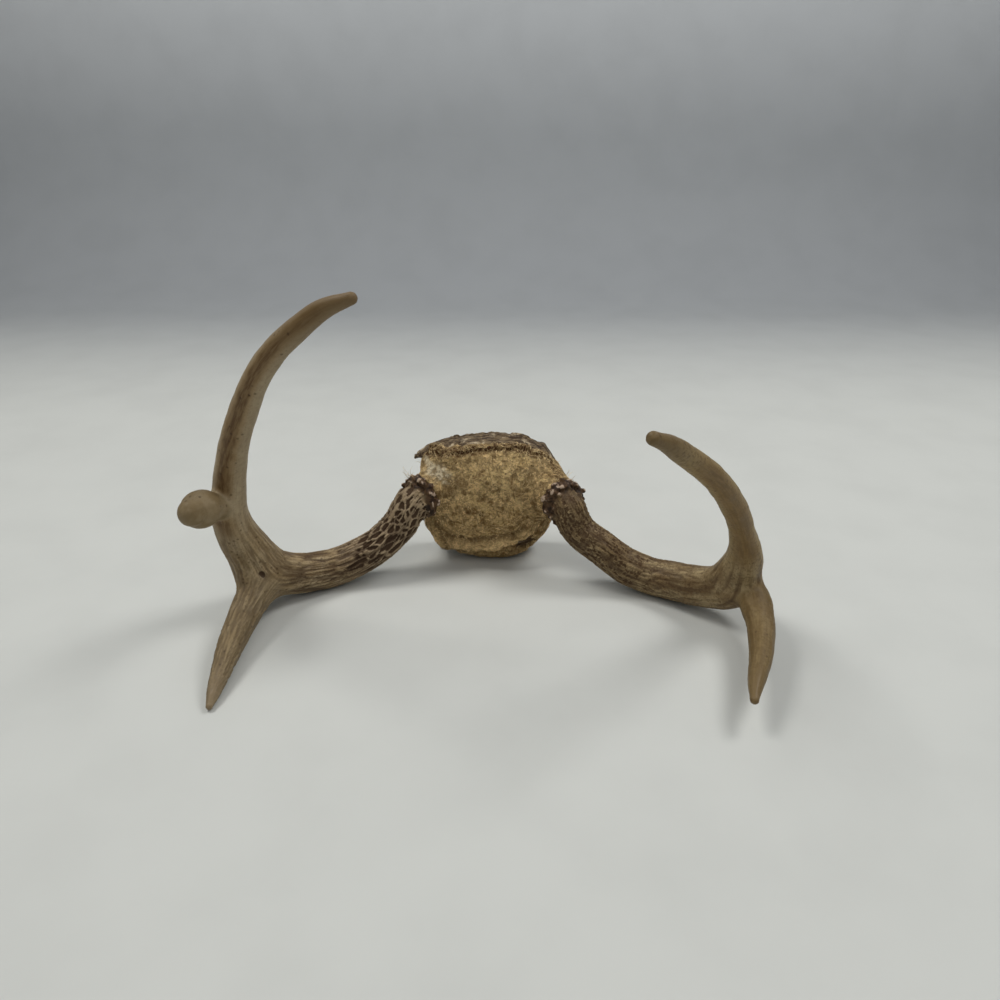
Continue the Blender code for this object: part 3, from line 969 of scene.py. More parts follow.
# %% Antler finish
def antler_finish(name, look):
    work = Coats(name, 0.22)
    tree, share = work.tree, work.mark("side_share")
    grains = [work.mark(grain, "Vector") for grain in ("grain", "side_grain")]

    def along_grain(width, length, low, high, start=0.0, end=1.0, detail=3.0):
        both = [work.effect(STREAKS, grain, Width=width, Length=length, Detail=detail)
                for grain in grains]
        return ramp(tree, mixed(tree, share, *both), low, high, start, end)

    cloud = work.mottle(0.013, 0.34, 0.66)
    thin = along_grain(0.0011, 0.016, 0.52, 0.72)
    worn = calc(tree, "MULTIPLY_ADD", work.mark("groove_zone"), look["grainy"], 0.14)
    work.ground(cloud, look["pale"], look["tan"])
    work.coat(along_grain(0.0042, 0.05, 0.46, 0.68), look["wide"], look["brown"])
    work.coat(thin, worn, look["streak"])
    work.coat("upper", look["upper_share"], look["upper"])
    work.coat("pit_zone", look["wall_share"], look["wall"])
    work.coat(work.mottle(0.0016, 0.46, 0.66, 3.0), look["speckle"], look["streak"])
    work.coat("groove", 0.8, look["groove"])
    work.coat("fine_groove", 0.65, look["groove"])
    work.coat(ramp(tree, work.mark("pit"), 0.05, 0.75), 0.95, look["pit"])
    work.coat("stain_tint", 0.7, look["tint"])
    work.coat("stain", along_grain(0.002, 0.009, 0.38, 0.6, 0.3, 0.92, 5.0), look["stain"])
    work.coat(share, look["side_share"], look["side"])
    work.coat("nub", ramp(tree, cloud, 0.0, 1.0, 0.35, 0.8), look["nub"])
    work.coat("side_tip", 0.7, look["side_tip"])
    work.coat("tip", look["tip_share"], look["tip"])
    work.coat(work.effect(PORES, Size=0.0024, Chance=look["pores"]), 0.6, look["pit"])
    work.coat(ramp(tree, work.mark("marks"), 0.00022, 0.0006), 0.9, look["pit"])
    foot = blend(tree, work.mottle(0.003, 0.4, 0.6), look["soil"], look["dust"])
    crown = times(tree, ramp(tree, work.mark("pearl"), 0.5, 0.9),
                  ramp(tree, work.mottle(0.0045, 0.35, 0.65), 0.3, 0.6))
    work.coat("burr", 1.0, work.coat(crown, 0.85, look["pearl"], foot))
    polish = calc(tree, "MAXIMUM", work.mark("tip"), work.mark("side_tip"))
    gloss = calc(tree, "MULTIPLY_ADD", polish, -0.1, ramp(tree, thin, 0.0, 1.0, 0.52, 0.66))
    rough = calc(tree, "MULTIPLY_ADD", work.mark("pit"), 0.2, gloss)
    tooth = times(tree, noise(tree, work.place, 1600.0, 3.0), 0.5)
    return work.done(rough, calc(tree, "MULTIPLY_ADD", thin, -0.7, tooth), 0.5, 0.00022)


LEFT_LOOK = {
    "pale": (0.42, 0.325, 0.19), "tan": (0.30, 0.215, 0.108), "brown": (0.19, 0.122, 0.052),
    "streak": (0.105, 0.062, 0.027), "wide": 0.6, "wall": (0.44, 0.335, 0.215), "wall_share": 0.7,
    "speckle": 0.22, "groove": (0.055, 0.028, 0.012), "pit": (0.045, 0.022, 0.009),
    "stain": (0.10, 0.052, 0.018), "tint": (0.22, 0.13, 0.045), "nub": (0.18, 0.125, 0.056),
    "side_tip": (0.25, 0.19, 0.115), "tip": (0.145, 0.09, 0.036), "tip_share": 0.8,
    "pores": 0.13, "pearl": (0.5, 0.38, 0.28), "soil": (0.024, 0.011, 0.005),
    "dust": (0.10, 0.055, 0.026), "upper": (0.37, 0.3, 0.195), "upper_share": 0.6,
    "grainy": 0.42, "side": (0.2, 0.15, 0.08), "side_share": 0.45,
}
RIGHT_LOOK = dict(LEFT_LOOK, **{
    "pale": (0.40, 0.305, 0.16), "tan": (0.235, 0.157, 0.07), "brown": (0.105, 0.06, 0.022),
    "streak": (0.066, 0.036, 0.014), "wide": 0.85, "wall": (0.33, 0.235, 0.12), "wall_share": 0.5,
    "speckle": 0.5, "pit": (0.07, 0.038, 0.016), "stain": (0.16, 0.10, 0.038),
    "side_tip": (0.185, 0.125, 0.056), "tip": (0.15, 0.10, 0.045), "pores": 0.15,
    "upper": (0.31, 0.225, 0.10), "upper_share": 0.8, "grainy": 0.6,
    "side": (0.16, 0.105, 0.04), "side_share": 0.62,
})
LEFT_CUT = {"Pit Depth": 0.001, "Pit Width": 0.0034, "Groove Depth": 0.00055,
            "Groove Width": 0.0024, "Groove Length": 0.028, "Swell": 0.0008, "Grit": 0.00006}
RIGHT_CUT = {"Pit Depth": 0.0003, "Pit Width": 0.0016, "Groove Depth": 0.0005,
             "Groove Width": 0.0021, "Groove Length": 0.016, "Swell": 0.001, "Grit": 0.00028}
for piece, look, cuts in ((left_antler, LEFT_LOOK, LEFT_CUT),
                          (right_antler, RIGHT_LOOK, RIGHT_CUT)):
    finish = antler_finish(piece.name.replace("_", " "), look)
    piece.data = run_tree(RELIEF, piece.data, Finish=finish, **cuts)
    piece.data.shade_smooth()
    print(piece.name, "cut and painted,", len(piece.data.polygons), "faces")

# %% [markdown]
# ## The piece of skull
# What holds the two antlers together is the sawn-off forehead: a boxy dome outside, the hollow of
# the brain behind, a flat sawn rim and a ragged upper edge where the cut crossed the brow.  The
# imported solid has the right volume, so a copy of it is the start.  A ragged band is laid along the
# brow, everything is remeshed as one skin, and then lowered, roughened and cut.

# %% Dome formula, the same as in the solids
CAP_CENTRE = np.array([1, 86, 42.1])
CAP_HALF = np.array([46, 31, 42])
CAP_POWER, CAP_TAPER, CAP_ROLL = 2.5, 0.17, math.radians(4)
HOLLOW_CENTRE, HOLLOW_HALF = np.array([1, 92, 38]), np.array([36, 28, 30])
ROLL = np.array([[math.cos(CAP_ROLL), 0, math.sin(CAP_ROLL)], [0, 1, 0],
                 [-math.sin(CAP_ROLL), 0, math.cos(CAP_ROLL)]])
RIM_Y = 91.0            # where the saw cut the skull off, behind
BAND_SIDES = 5


def dome_reach(points, centre=CAP_CENTRE, half=CAP_HALF):
    """How far out a point lies, in millimetres in: 1 on the dome, less inside it."""
    local = (points - centre) @ ROLL / half
    local[:, 0] /= 1 - CAP_TAPER * (0.5 - 0.5 * local[:, 2])
    return (np.abs(local) ** CAP_POWER).sum(1) ** (1 / CAP_POWER)


def dome_point(ways, grow):
    """The dome's point in each direction, pushed out by grow millimetres."""
    unit = ways / (np.abs(ways) ** CAP_POWER).sum(1)[:, None] ** (1 / CAP_POWER)
    width = 1 - CAP_TAPER * (0.5 - 0.5 * unit[:, 2])
    local = unit * (CAP_HALF + grow)
    local[:, 0] *= width
    return local @ ROLL.T + CAP_CENTRE


# Height of the ragged brow edge across the skull, x and z in millimetres
BROW_X = [-48, -43.6, -37, -31.5, -20.6, -8, 6.6, 16, 22, 27, 35.6, 39, 43, 48]
BROW_Z = [63.6, 67.6, 71.2, 73.4, 76.0, 77.8, 79.0, 78.6, 77.2, 74.6, 71.6, 66.5, 59.5, 48]


def cad_copy(node):
    """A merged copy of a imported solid, which itself stays as it is."""
    bm = bmesh.new()
    bm.from_mesh(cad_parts[node].data)
    bmesh.ops.remove_doubles(bm, verts=bm.verts, dist=0.01 * MM)
    return closed_up(node + "_copy", bm)


def brow_band():
    """A strip of broken bone and dry hide along the brow, pointed at its left end."""
    points = []
    stations = np.linspace(-47.6, 40.5, 60)
    for x in stations:
        top = np.interp(x, BROW_X, BROW_Z)
        end = min(1.0, (x + 48.6) / 9, (42.5 - x) / 6)
        thick = 1.0 + 5.0 * end
        front = np.interp(x, [-48, -40, -30, 0, 30, 41], [86, 80, 75.5, 71.5, 75, 82])
        points += [(x, front, top - thick * 0.5), (x, front + 1.5, top), (x, RIM_Y - 0.4, top),
                   (x, RIM_Y, top - thick), (x, front + 2, top - thick)]
    faces = grid_faces(len(stations), BAND_SIDES)[:-BAND_SIDES]
    faces.append(tuple(range(BAND_SIDES)))
    faces.append(tuple(range(len(points) - 1, len(points) - BAND_SIDES - 1, -1)))
    return [np.array(p) * MM for p in points], faces


# %% Skull skin
BONE_SKIN = 0.00066
skull = even_skin("skull_bone", joined("skull_bone", [cad_copy("skull_cap"), brow_band()]),
                  BONE_SKIN)
where = points_of(skull.data) / MM
brow = np.interp(where[:, 0], BROW_X, BROW_Z)
rough = layered(where, (1.1, 7.0, 41), (0.7, 3.0, 42), (0.35, 1.4, 43))
in_band = step_up(where[:, 1], 66, 72) * step_up(where[:, 2], brow - 9, brow - 3)
above = np.maximum(where[:, 2] - brow, 0)
where[:, 2] += in_band * (rough * 0.75 - above * 0.92)
crack = 1 - np.abs(lumps(where * (0.35, 1, 1), 3.4, 44)) * 5
where[:, 2] -= in_band * np.clip(crack, 0, 1) * 1.0
where[:, 1] = np.minimum(where[:, 1], RIM_Y + 0.25 * lumps(where, 5, 45) * in_band)
set_points(skull.data, where * MM)

normal = normals_of(skull.data)
outer, inner = dome_reach(where), dome_reach(where, HOLLOW_CENTRE, HOLLOW_HALF)
sawn = step_up(normal[:, 1], 0.75, 0.95) * step_up(where[:, 1], 89.8, 90.6)
across = (inner - 1) / (np.abs(inner - 1) + np.abs(1 - outer) * 1.25 + 1e-6)
keep(skull.data, sawn=sawn, spongy=sawn * between(across, 0.22, 0.34, 0.66, 0.80),
     hollow=(1 - step_up(inner, 1.03, 1.08)) * (1 - sawn), band=in_band * (1 - sawn))
print("skull skin:", len(skull.data.polygons) * 2, "triangles, brow top",
      round(where[:, 2].max(), 1), "mm")

# %% [markdown]
# ## Relief of the bone
# The saw left fine parallel scratches across the rim.  Between its two hard tables the bone is
# spongy, and inside the hollow small vessels pressed branching grooves.  These repeat over a
# surface, so a Geometry Nodes tree cuts them, and stores what it cut for the paint.

# %% Bone relief tree
def bone_tree():
    tree, given, result = new_tree("GeometryNodeTree", "bone relief", {
        "Geometry": None, "Saw Depth": 0.00012, "Saw Pitch": 0.0014, "Pore Size": 0.0019,
        "Pore Depth": 0.0009, "Vessel Depth": 0.0005, "Vessel Size": 0.011, "Grit": 0.0003,
        "Finish": None})
    place = put(tree, "GeometryNodeInputPosition").outputs[0]
    sawn, hollow = named(tree, "sawn"), named(tree, "hollow")
    parts = split(tree, place)
    slope = calc(tree, "MULTIPLY_ADD", parts[0], 0.35, parts[2])
    turns = calc(tree, "MULTIPLY_ADD", noise(tree, place, 60.0, 1.0), 4.0,
                 calc(tree, "DIVIDE", slope, given["Saw Pitch"]))
    scratch = calc(tree, "SINE", times(tree, turns, 2 * math.pi))
    saw = times(tree, times(tree, scratch, sawn), given["Saw Depth"])
    cells = put(tree, "ShaderNodeTexVoronoi", {
        "Vector": stretched(tree, place, given["Pore Size"], given["Pore Size"]), "Scale": 1.0})
    pore = times(tree, ramp(tree, cells.outputs["Distance"], 0.22, 0.5, 1.0, 0.0),
                 named(tree, "spongy"))
    vessels = drawn_lines(tree, place, given["Vessel Size"], given["Vessel Size"], 0.94, 0.99)
    vessel = times(tree, vessels, hollow)
    weathered = calc(tree, "SUBTRACT", 1.25, calc(tree, "MAXIMUM", sawn, hollow))
    height = calc(tree, "ADD", saw, uneven(tree, place, 420.0, 3.0,
                                           times(tree, given["Grit"], weathered)))
    for cut, depth in ((pore, "Pore Depth"), (vessel, "Vessel Depth")):
        height = calc(tree, "SUBTRACT", height, times(tree, cut, given[depth]))
    return carved(tree, given, result, height, pore=pore, vessel=vessel)


BONE_RELIEF = bone_tree()
print("bone relief tree:", len(BONE_RELIEF.nodes), "nodes")

# %% [markdown]
# ## Bone finish
# The outside is weathered brown-grey with pale worn spots, the sawn rim is cream with brown
# sponge in its middle, and the hollow is smooth and stained along its vessels.

# %% Bone finish
def turned(tree, place, angle):
    """Coordinates turned about Y, so that a grain's long way runs across the forehead."""
    return put(tree, "ShaderNodeVectorRotate", {"Vector": place, "Angle": angle},
               rotation_type="Y_AXIS").outputs[0]


def bone_finish():
    work = Coats("skull bone", 0.3)
    tree = work.tree
    cloud = work.mottle(0.012, 0.36, 0.64)
    small = work.mottle(0.0035, 0.4, 0.62)
    crust = work.effect(STREAKS, turned(tree, work.place, math.pi / 2), Width=0.0016,
                        Length=0.012)
    band = blend(tree, ramp(tree, crust, 0.44, 0.58), (0.045, 0.024, 0.011), (0.23, 0.165, 0.09))
    band = work.coat(work.mottle(0.004, 0.42, 0.6, 5.0), 0.55, (0.07, 0.043, 0.022), band)
    band = work.coat(work.mottle(0.0085, 0.54, 0.64, 5.0), 0.85, (0.52, 0.42, 0.28), band)
    fleck = work.effect(PORES, Size=0.0019, Chance=0.3)
    band = work.coat(fleck, 0.6, (0.035, 0.019, 0.009), band)
    rim = blend(tree, cloud, (0.54, 0.43, 0.27), (0.41, 0.305, 0.175))
    rim = work.coat("spongy", 0.7, (0.24, 0.16, 0.09), rim)
    rim = work.coat("pore", 1.0, (0.07, 0.04, 0.022), rim)
    inside = blend(tree, cloud, (0.44, 0.33, 0.185), (0.31, 0.215, 0.11))
    inside = work.coat(work.mottle(0.02, 0.52, 0.68, 6.0), 0.6, (0.17, 0.10, 0.055), inside)
    inside = work.coat("vessel", 0.4, (0.16, 0.09, 0.042), inside)
    work.ground(cloud, (0.17, 0.125, 0.075), (0.27, 0.21, 0.13))
    work.coat(small, 0.55, (0.11, 0.075, 0.042))
    for zone, paint in (("band", band), ("sawn", rim), ("hollow", inside)):
        work.coat(zone, 1.0, paint)
    work.coat(work.effect(PORES, Size=0.0021, Chance=0.22), 0.5, (0.05, 0.03, 0.018))
    height = calc(tree, "MULTIPLY_ADD", small, -0.5, noise(tree, work.place, 1100.0, 4.0))
    return work.done(ramp(tree, cloud, 0.0, 1.0, 0.62, 0.8), height, 0.6, 0.0003)


skull.data = run_tree(BONE_RELIEF, skull.data, Finish=bone_finish())
skull.data.shade_smooth()
print("skull cut and painted,", len(skull.data.polygons), "faces")

# %% [markdown]
# ## Dried hide
# The skin of the forehead dried on the bone like felted rawhide.  It is drawn up to the burrs in
# thin collars, ends in a ragged cracked edge along the brow, and turns up in a lip above the lower
# edge.  It is a sheet that follows the dome, so it is built from the dome's own formula, given
# thickness, joined with its collars into one skin, and then puckered.

# %% Hide sheet and collars
HIDE_TURNS = [-90, -63, -46, -22, 0, 42, 67, 90]         # degrees round from the middle
HIDE_TOP = [24, 42, 50, 58.5, 61, 54, 41.5, 22]          # where the hide ends above
HIDE_FOOT = [-36, -56, -63, -67, -68, -64, -55, -34]     # and below
HIDE_OUT, HIDE_THICK = 2.3, 1.5                          # mm: face over the bone, thickness
HIDE_GRID = (150, 130)


def hide_sheet():
    across, up = HIDE_GRID
    u, v = np.meshgrid(np.linspace(-1, 1, across), np.linspace(0, 1, up))
    u, v = u.ravel(), v.ravel()
    turn = u * (88 + 2.5 * lumps(np.column_stack([u * 0 + np.sign(u), v * 8, u * 0]), 1.0, 51))
    along = np.column_stack([u * 14, u * 0, u * 0])
    top = np.interp(turn, HIDE_TURNS, HIDE_TOP) + 1.3 * lumps(along, 1.0, 52) \
        + 0.6 * lumps(along, 0.35, 53)
    foot = np.interp(turn, HIDE_TURNS, HIDE_FOOT) + 2.5 * lumps(along, 1.2, 54)
    rise = np.radians(foot + (top - foot) * v)
    turn = np.radians(turn)
    ways = np.column_stack([np.sin(turn) * np.cos(rise), -np.cos(turn) * np.cos(rise),
                            np.sin(rise)])
    sides = []
    for grow in (HIDE_OUT, HIDE_OUT - HIDE_THICK):
        points = dome_point(ways, grow)
        limit = np.interp(points[:, 0], BROW_X, BROW_Z) + grow - 1.2
        over = np.maximum(points[:, 2] - limit, 0) * step_up(points[:, 2], 40, 55)
        points[:, 2] -= over
        sides.append(points)
    count = across * up
    points = np.vstack(sides) * MM
    faces = []
    for j in range(up - 1):
        for i in range(across - 1):
            a, b = j * across + i, j * across + i + 1
            faces.append((a, b, b + across, a + across))
            faces.append((count + a + across, count + b + across, count + b, count + a))
    border = list(range(across)) + [j * across + across - 1 for j in range(1, up)]
    border += [(up - 1) * across + i for i in range(across - 2, -1, -1)]
    border += [j * across for j in range(up - 2, 0, -1)]
    for a, b in zip(border, border[1:] + border[:1]):
        faces.append((b, a, count + a, count + b))
    return list(points), faces


SKIRT_RIM = (11.9, 10.4)    # mm: outer and inner radius of a collar at the burr
SKIRT_FOOT = 22.0           # mm: radius at which a collar runs out on the dome
SKIRT_STEPS, SKIRT_SIDES = 9, 84


def collar(data, seed):
    """Hide drawn up a pedicle: a skirt from the burr, flaring out onto the dome."""
    seam, way = lines_of(data)[1:]
    seam, root = seam / MM, np.array(data["pedicle"][0], float)
    side = np.cross(way, (0, 0, 1))
    side /= np.linalg.norm(side)
    other = np.cross(way, side)
    turns = np.linspace(0, 2 * np.pi, SKIRT_SIDES, endpoint=False)
    ring = np.column_stack([np.cos(turns) * 3, np.sin(turns) * 3, turns * 0])
    wave = layered(ring, (0.8, 1.0, seed), (0.5, 0.35, seed + 1))
    out = np.cos(turns)[:, None] * side + np.sin(turns)[:, None] * other
    shells = []
    for radius, grow in zip(SKIRT_RIM, (HIDE_OUT - 0.2, HIDE_OUT - 0.2 - HIDE_THICK)):
        foot = dome_point(root + out * SKIRT_FOOT - CAP_CENTRE, grow) - seam
        drop = foot @ way
        spread = foot - drop[:, None] * way
        shell = []
        for t in np.linspace(0, 1, SKIRT_STEPS):
            flare = t ** 2
            lift = drop * t ** 0.9 + (0.5 + wave) * (1 - t) ** 3
            shell.append(seam + out * (radius * (1 - flare)) + spread * flare
                         + lift[:, None] * way)
        shells.append(shell)
    rings = shells[0] + shells[1][::-1]
    points = np.stack(rings, axis=1).reshape(-1, 3) * MM
    return list(points), grid_faces(SKIRT_SIDES, len(rings))


def axis_far(points, data):
    """Distance in mm from a pedicle's axis and height over its seam."""
    seam, way = lines_of(data)[1:]
    offset = points - seam / MM
    height = offset @ way
    return np.linalg.norm(offset - np.outer(height, way), axis=1), height


# %% Hide skin
HIDE_SKIN = 0.0006       # m, size of the skin's faces
HOLE_RADIUS, HOLE_DEPTH = 12.0, 16      # mm: the sheet is open round a pedicle's axis
EASING = 22              # rounds that even out a collar's foot
sheet_points, sheet_faces = hide_sheet()
plain = np.array(sheet_points) / MM
kept = np.ones(len(plain), bool)
for data in (LEFT, RIGHT):
    far, height = axis_far(plain, data)
    kept &= ~((far < HOLE_RADIUS) & (height > -HOLE_DEPTH))
half_count = len(plain) // 2
kept = np.tile(kept[:half_count] & kept[half_count:], 2)
faces = [f for f in sheet_faces if all(kept[k] for k in f)]
edges = dict.fromkeys(e for face in faces for e in zip(face, face[1:] + face[:1]))
for a, b in edges:
    if (b, a) not in edges and a < half_count and b < half_count:
        faces.append((b, a, a + half_count, b + half_count))
hide = even_skin("forehead_hide", joined("forehead_hide", [(sheet_points, faces),
                 collar(LEFT, 61), collar(RIGHT, 71)]), HIDE_SKIN)
where = points_of(hide.data) / MM
near_burr = np.zeros(len(where))
for data in (LEFT, RIGHT):
    far, height = axis_far(where, data)
    near_burr = np.maximum(near_burr, (1 - step_up(far, 19, 25)) * step_up(-height, 0.6, 2.5))
eased = neighbour_average(hide.data, where, EASING)
where += (eased - where) * (near_burr * 0.95)[:, None]
print("hide skin:", len(hide.data.polygons) * 2, "triangles")

# %% Folds, lip and puckers of the hide
LIP_X = [-34, -25, -10, 0, 15, 24, 32]
LIP_Z = [22, 20, 19.5, 20.5, 24.5, 29.5, 32]
# height in mm, size in mm and seed of the puckers all over
PUCKERS = [(0.8, 15.0, 82), (0.5, 6.0, 83), (0.32, 2.6, 84), (0.2, 1.3, 89)]


def outward(points):
    """Unit ways straight out of the dome."""
    local = (points - CAP_CENTRE) / CAP_HALF**2
    local[:, 1] = np.minimum(local[:, 1], -0.004)
    return local / np.linalg.norm(local, axis=1)[:, None]


def hump(values, width):
    """A rounded ridge, 1 in its middle."""
    return np.exp(-(values / width) ** 2)


x, z = where[:, 0], where[:, 2]
ways = outward(where)
over_lip = z - np.interp(x, LIP_X, LIP_Z) - 1.0 * lumps(where * (1, 0, 0), 7.0, 81)
mid = (1 - step_up(np.abs(x + 1), 20, 33)) * step_up(-where[:, 1], -84, -76)
push = layered(where, *PUCKERS)
# The hem swells below its lip, with a sharp rim and a crease over it, and small folds under it
fold_rise = 1 + 0.45 * lumps(where * (1, 0, 0), 9.0, 90)
push += 3.6 * mid * fold_rise * hump(over_lip + 4.0, 3.4)
push += 1.1 * mid * hump(over_lip + 1.2, 1.1)
push -= 1.3 * mid * hump(over_lip - 1.8, 1.4)
folds = np.sin(z * 1.7 + 3.0 * lumps(where, 8.0, 85))
push += 0.8 * mid * folds * step_up(-over_lip, 3, 6)
# The left flank stands out, and its lower corner curls up beside a gutter
push += 3.2 * np.exp(-((x + 45) / 7) ** 2 - ((z - 60) / 8) ** 2)
across_curl = x + (z - 17) * 0.55
curl = hump(across_curl + 32, 2.1) * between(z, 4, 10, 26, 33)
push += 4.2 * curl
gutter = hump(across_curl + 27.9, 1.5) * between(z, 5, 11, 26, 32)
push -= 1.6 * gutter
# A torn hollow low on the right, and a cracked swollen edge under the brow
torn = 1 - step_up(np.hypot((x - 23) / 1.5, z - 16) + 2.2 * lumps(where, 3.5, 86), 4.5, 7.5)
push -= 2.4 * torn
brow = np.interp(x, BROW_X, BROW_Z)
at_edge = step_up(z, brow - 7, brow - 1) * (1 - step_up(where[:, 1], 78, 84))
push += at_edge * (0.9 + 1.2 * lumps(where, 4.0, 87))
crack = hump(z - brow + 0.6 + 0.8 * lumps(where, 3.0, 91), 0.9) * at_edge
push -= 1.2 * crack
calm = 1 - 0.75 * near_burr
where += ways * (push * calm)[:, None]
where[:, 2] = np.maximum(where[:, 2], 0.5)
set_points(hide.data, where * MM)
cream = 1 - step_up(np.hypot((x + 32) / 1.8, z - 64 + 0.2 * (x + 32))
                    + 2.6 * lumps(where, 3.0, 88), 1.8, 7.5)
# The upper hide's mask is painted light; the crease and edge masks are painted shade; the lip mask
# is partly a painted highlight.
keep(hide.data, lip=np.maximum(mid * hump(over_lip + 4.0, 4.5), curl),
     crease=np.maximum(mid * hump(over_lip - 1.2, 1.3), gutter), upward=step_up(z, 30, 62),
     cream=cream, torn=torn, near_burr=near_burr,
     edge=np.maximum(crack, at_edge * step_up(z, brow - 3.4, brow - 1.2)))
print("hide puckered between", round(push.min(), 1), "and", round(push.max(), 1), "mm")

# %% [markdown]
# ## Hide finish
# Felted, fibrous and dull: ochre and olive clouds, short fibres running every way, dark specks,
# a cream patch by the left burr and a dark torn patch low on the right.  Painted light makes the
# upper hide paler and painted shade makes its bottom darker; painted shade in red-brown fills the
# crack along the brow and the crease over the hem; the lip is paler, partly its own tone and partly
# a painted highlight.

# %% Hide finish
# The dark patches of the hide, which the strands on it share
PATCHES = {"size": 0.0058, "low": 0.48, "high": 0.62, "detail": 7.0}
# Turn of a layer of fibres in radians, and how strongly it shows
FIBRES = ((0.2, 0.7), (1.25, 0.6), (2.3, 0.55))


def hide_finish():
    work = Coats("dried hide", 0.2)
    tree = work.tree
    cloud, blot, fine = [work.mottle(size, low, 1 - low, detail) for size, low, detail in
                         ((0.012, 0.36, 5.0), (0.0052, 0.38, 4.0), (0.002, 0.38, 4.0))]
    work.ground(cloud, (0.92, 0.66, 0.31), (0.62, 0.425, 0.175))
    # Painted light: the upper hide is paler, as if lit from above.
    work.coat("upward", 0.75, (1.0, 0.76, 0.37))
    work.coat(blot, 0.5, (0.37, 0.235, 0.088))
    work.coat(work.mottle(**PATCHES), 0.75, (0.21, 0.115, 0.038))
    work.coat(fine, 0.24, (0.18, 0.105, 0.035))
    for turn, share in FIBRES:
        fibre = work.effect(STREAKS, turned(tree, work.place, turn), Width=0.0012, Length=0.011)
        work.coat(ramp(tree, fibre, 0.56, 0.68), share, (0.86, 0.64, 0.33))
        work.coat(ramp(tree, fibre, 0.43, 0.33), share, (0.14, 0.085, 0.034))
    work.coat(work.effect(PORES, Size=0.0026, Chance=0.2), 0.6, (0.07, 0.04, 0.018))
    level = split(tree, work.place)["Z"]
    # Painted shade: the hide is darker towards the bottom.
    work.coat(ramp(tree, level, 0.045, 0.012), 0.45, (0.2, 0.125, 0.043))
    # The paler lip and curl are partly the hide's own tone and partly a painted highlight where the
    # ridge catches light from above.
    work.coat("lip", ramp(tree, fine, 0.9, 0.1, 0.4, 0.9), (0.92, 0.67, 0.34))
    # Painted shade in the crease over the hem and in the gutter beside the curl.
    work.coat("crease", 0.7, (0.13, 0.08, 0.032))
    work.coat("cream", ramp(tree, blot, 1.0, 0.5, 0.5, 1.0), (1.0, 0.86, 0.6))
    # Painted shade: dark red-brown in the crack and along the top edge under the brow.
    work.coat("edge", ramp(tree, fine, 0.2, 0.8, 0.65, 1.0), (0.085, 0.038, 0.015))
    work.coat("torn", 0.9, (0.055, 0.028, 0.012))
    work.coat("near_burr", ramp(tree, blot, 0.2, 0.8, 0.1, 0.6), (0.17, 0.105, 0.042))
    height = calc(tree, "MULTIPLY_ADD", fine, -0.7, noise(tree, work.place, 700.0, 5.0))
    height = calc(tree, "MULTIPLY_ADD", blot, -0.8, height)
    return work.done(ramp(tree, cloud, 0.0, 1.0, 0.82, 0.95), height, 1.0, 0.0009)


hide.data.materials.clear()
hide.data.materials.append(hide_finish())
hide.data.shade_smooth()
print("hide finish has", len(hide.data.materials[0].node_tree.nodes), "nodes")

# %% [markdown]
# ## Felted strands and stray hairs
# Dried hide is felted: short strands lie on it every way, and single hairs stand off its edges.
# Thousands of strands are too many to model one by one, and paint alone would give them no edge
# against the light.  So each strand is a short line led over the surface, and a Geometry
# Nodes tree turns all the lines into thin tapered hairs at once.

# %% Hair tree
def hair_tree():
    tree, given, result = new_tree("GeometryNodeTree", "tapered hairs", {
        "Geometry": None, "Thickness": 0.00015, "Taper": 0.8, "Sides": 3, "Finish": None})
    curves = put(tree, "GeometryNodeMeshToCurve", {0: given["Geometry"]}).outputs[0]
    along = put(tree, "GeometryNodeSplineParameter").outputs["Factor"]
    thin = calc(tree, "SUBTRACT", 1.0, times(tree, along, given["Taper"]))
    profile = put(tree, "GeometryNodeCurvePrimitiveCircle", {"Resolution": given["Sides"],
                  "Radius": 1.0}).outputs[0]
    solid = put(tree, "GeometryNodeCurveToMesh", {"Curve": curves, "Profile Curve": profile,
                "Scale": times(tree, thin, given["Thickness"]), "Fill Caps": True}).outputs[0]
    return ended(tree, given, result, solid)


def line_mesh(name, lines):
    """A mesh of edges only, one chain for each line of points."""
    points, edges = [], []
    for line in lines:
        edges += [(len(points) + k, len(points) + k + 1) for k in range(len(line) - 1)]
        points += [tuple(p) for p in line]
    mesh = bpy.data.meshes.new(name)
    mesh.from_pydata(points, edges, [])
    return mesh


HAIRS = hair_tree()
print("hair tree:", len(HAIRS.nodes), "nodes")

# %% Lines of the strands
STRANDS, STRAND_STEPS = 5600, 4
STRAY_STEPS = 8
chance = np.random.default_rng(7)
surface, upright = points_of(hide.data), normals_of(hide.data)
tree_of_points = KDTree(len(surface))
for index, point in enumerate(surface):
    tree_of_points.insert(point, index)
tree_of_points.balance()
shown = (surface[:, 1] < 0.089) & (surface[:, 2] > 0.004) & (upright @ (0, -1, 0.35) > -0.25)
shown &= (cream < 0.6) & (torn < 0.3) & (crack < 0.35)
starts = chance.choice(np.flatnonzero(shown), STRANDS)
swirl = 3.4 * lumps(surface / MM, 10.0, 95)    # which way the felt lies, in radians


def strand(start, length, lift, steps):
    """A line that wanders over the hide, its ends sunk in and its middle lifted."""
    point, line = surface[start], []
    turn = swirl[start] + chance.normal() * 0.55
    rising = np.cross(upright[start], (1.0, 0.0, 0.0))
    way = rising * math.cos(turn) + np.cross(upright[start], rising) * math.sin(turn)
    way /= np.linalg.norm(way)
    for step in range(steps + 1):
        index = tree_of_points.find(point)[1]
        rise = lift * (math.sin(math.pi * (0.12 + 0.8 * step / steps)) - 0.25)
        line.append(surface[index] * 0.35 + point * 0.65 + upright[index] * rise)
        way += chance.normal(size=3) * 0.22
        way -= upright[index] * (way @ upright[index])
        way /= np.linalg.norm(way)
        point = point + way * (length / steps)
    return line


strands = [strand(start, chance.uniform(0.003, 0.0085), chance.uniform(0.00015, 0.0006),
                  STRAND_STEPS) for start in starts]

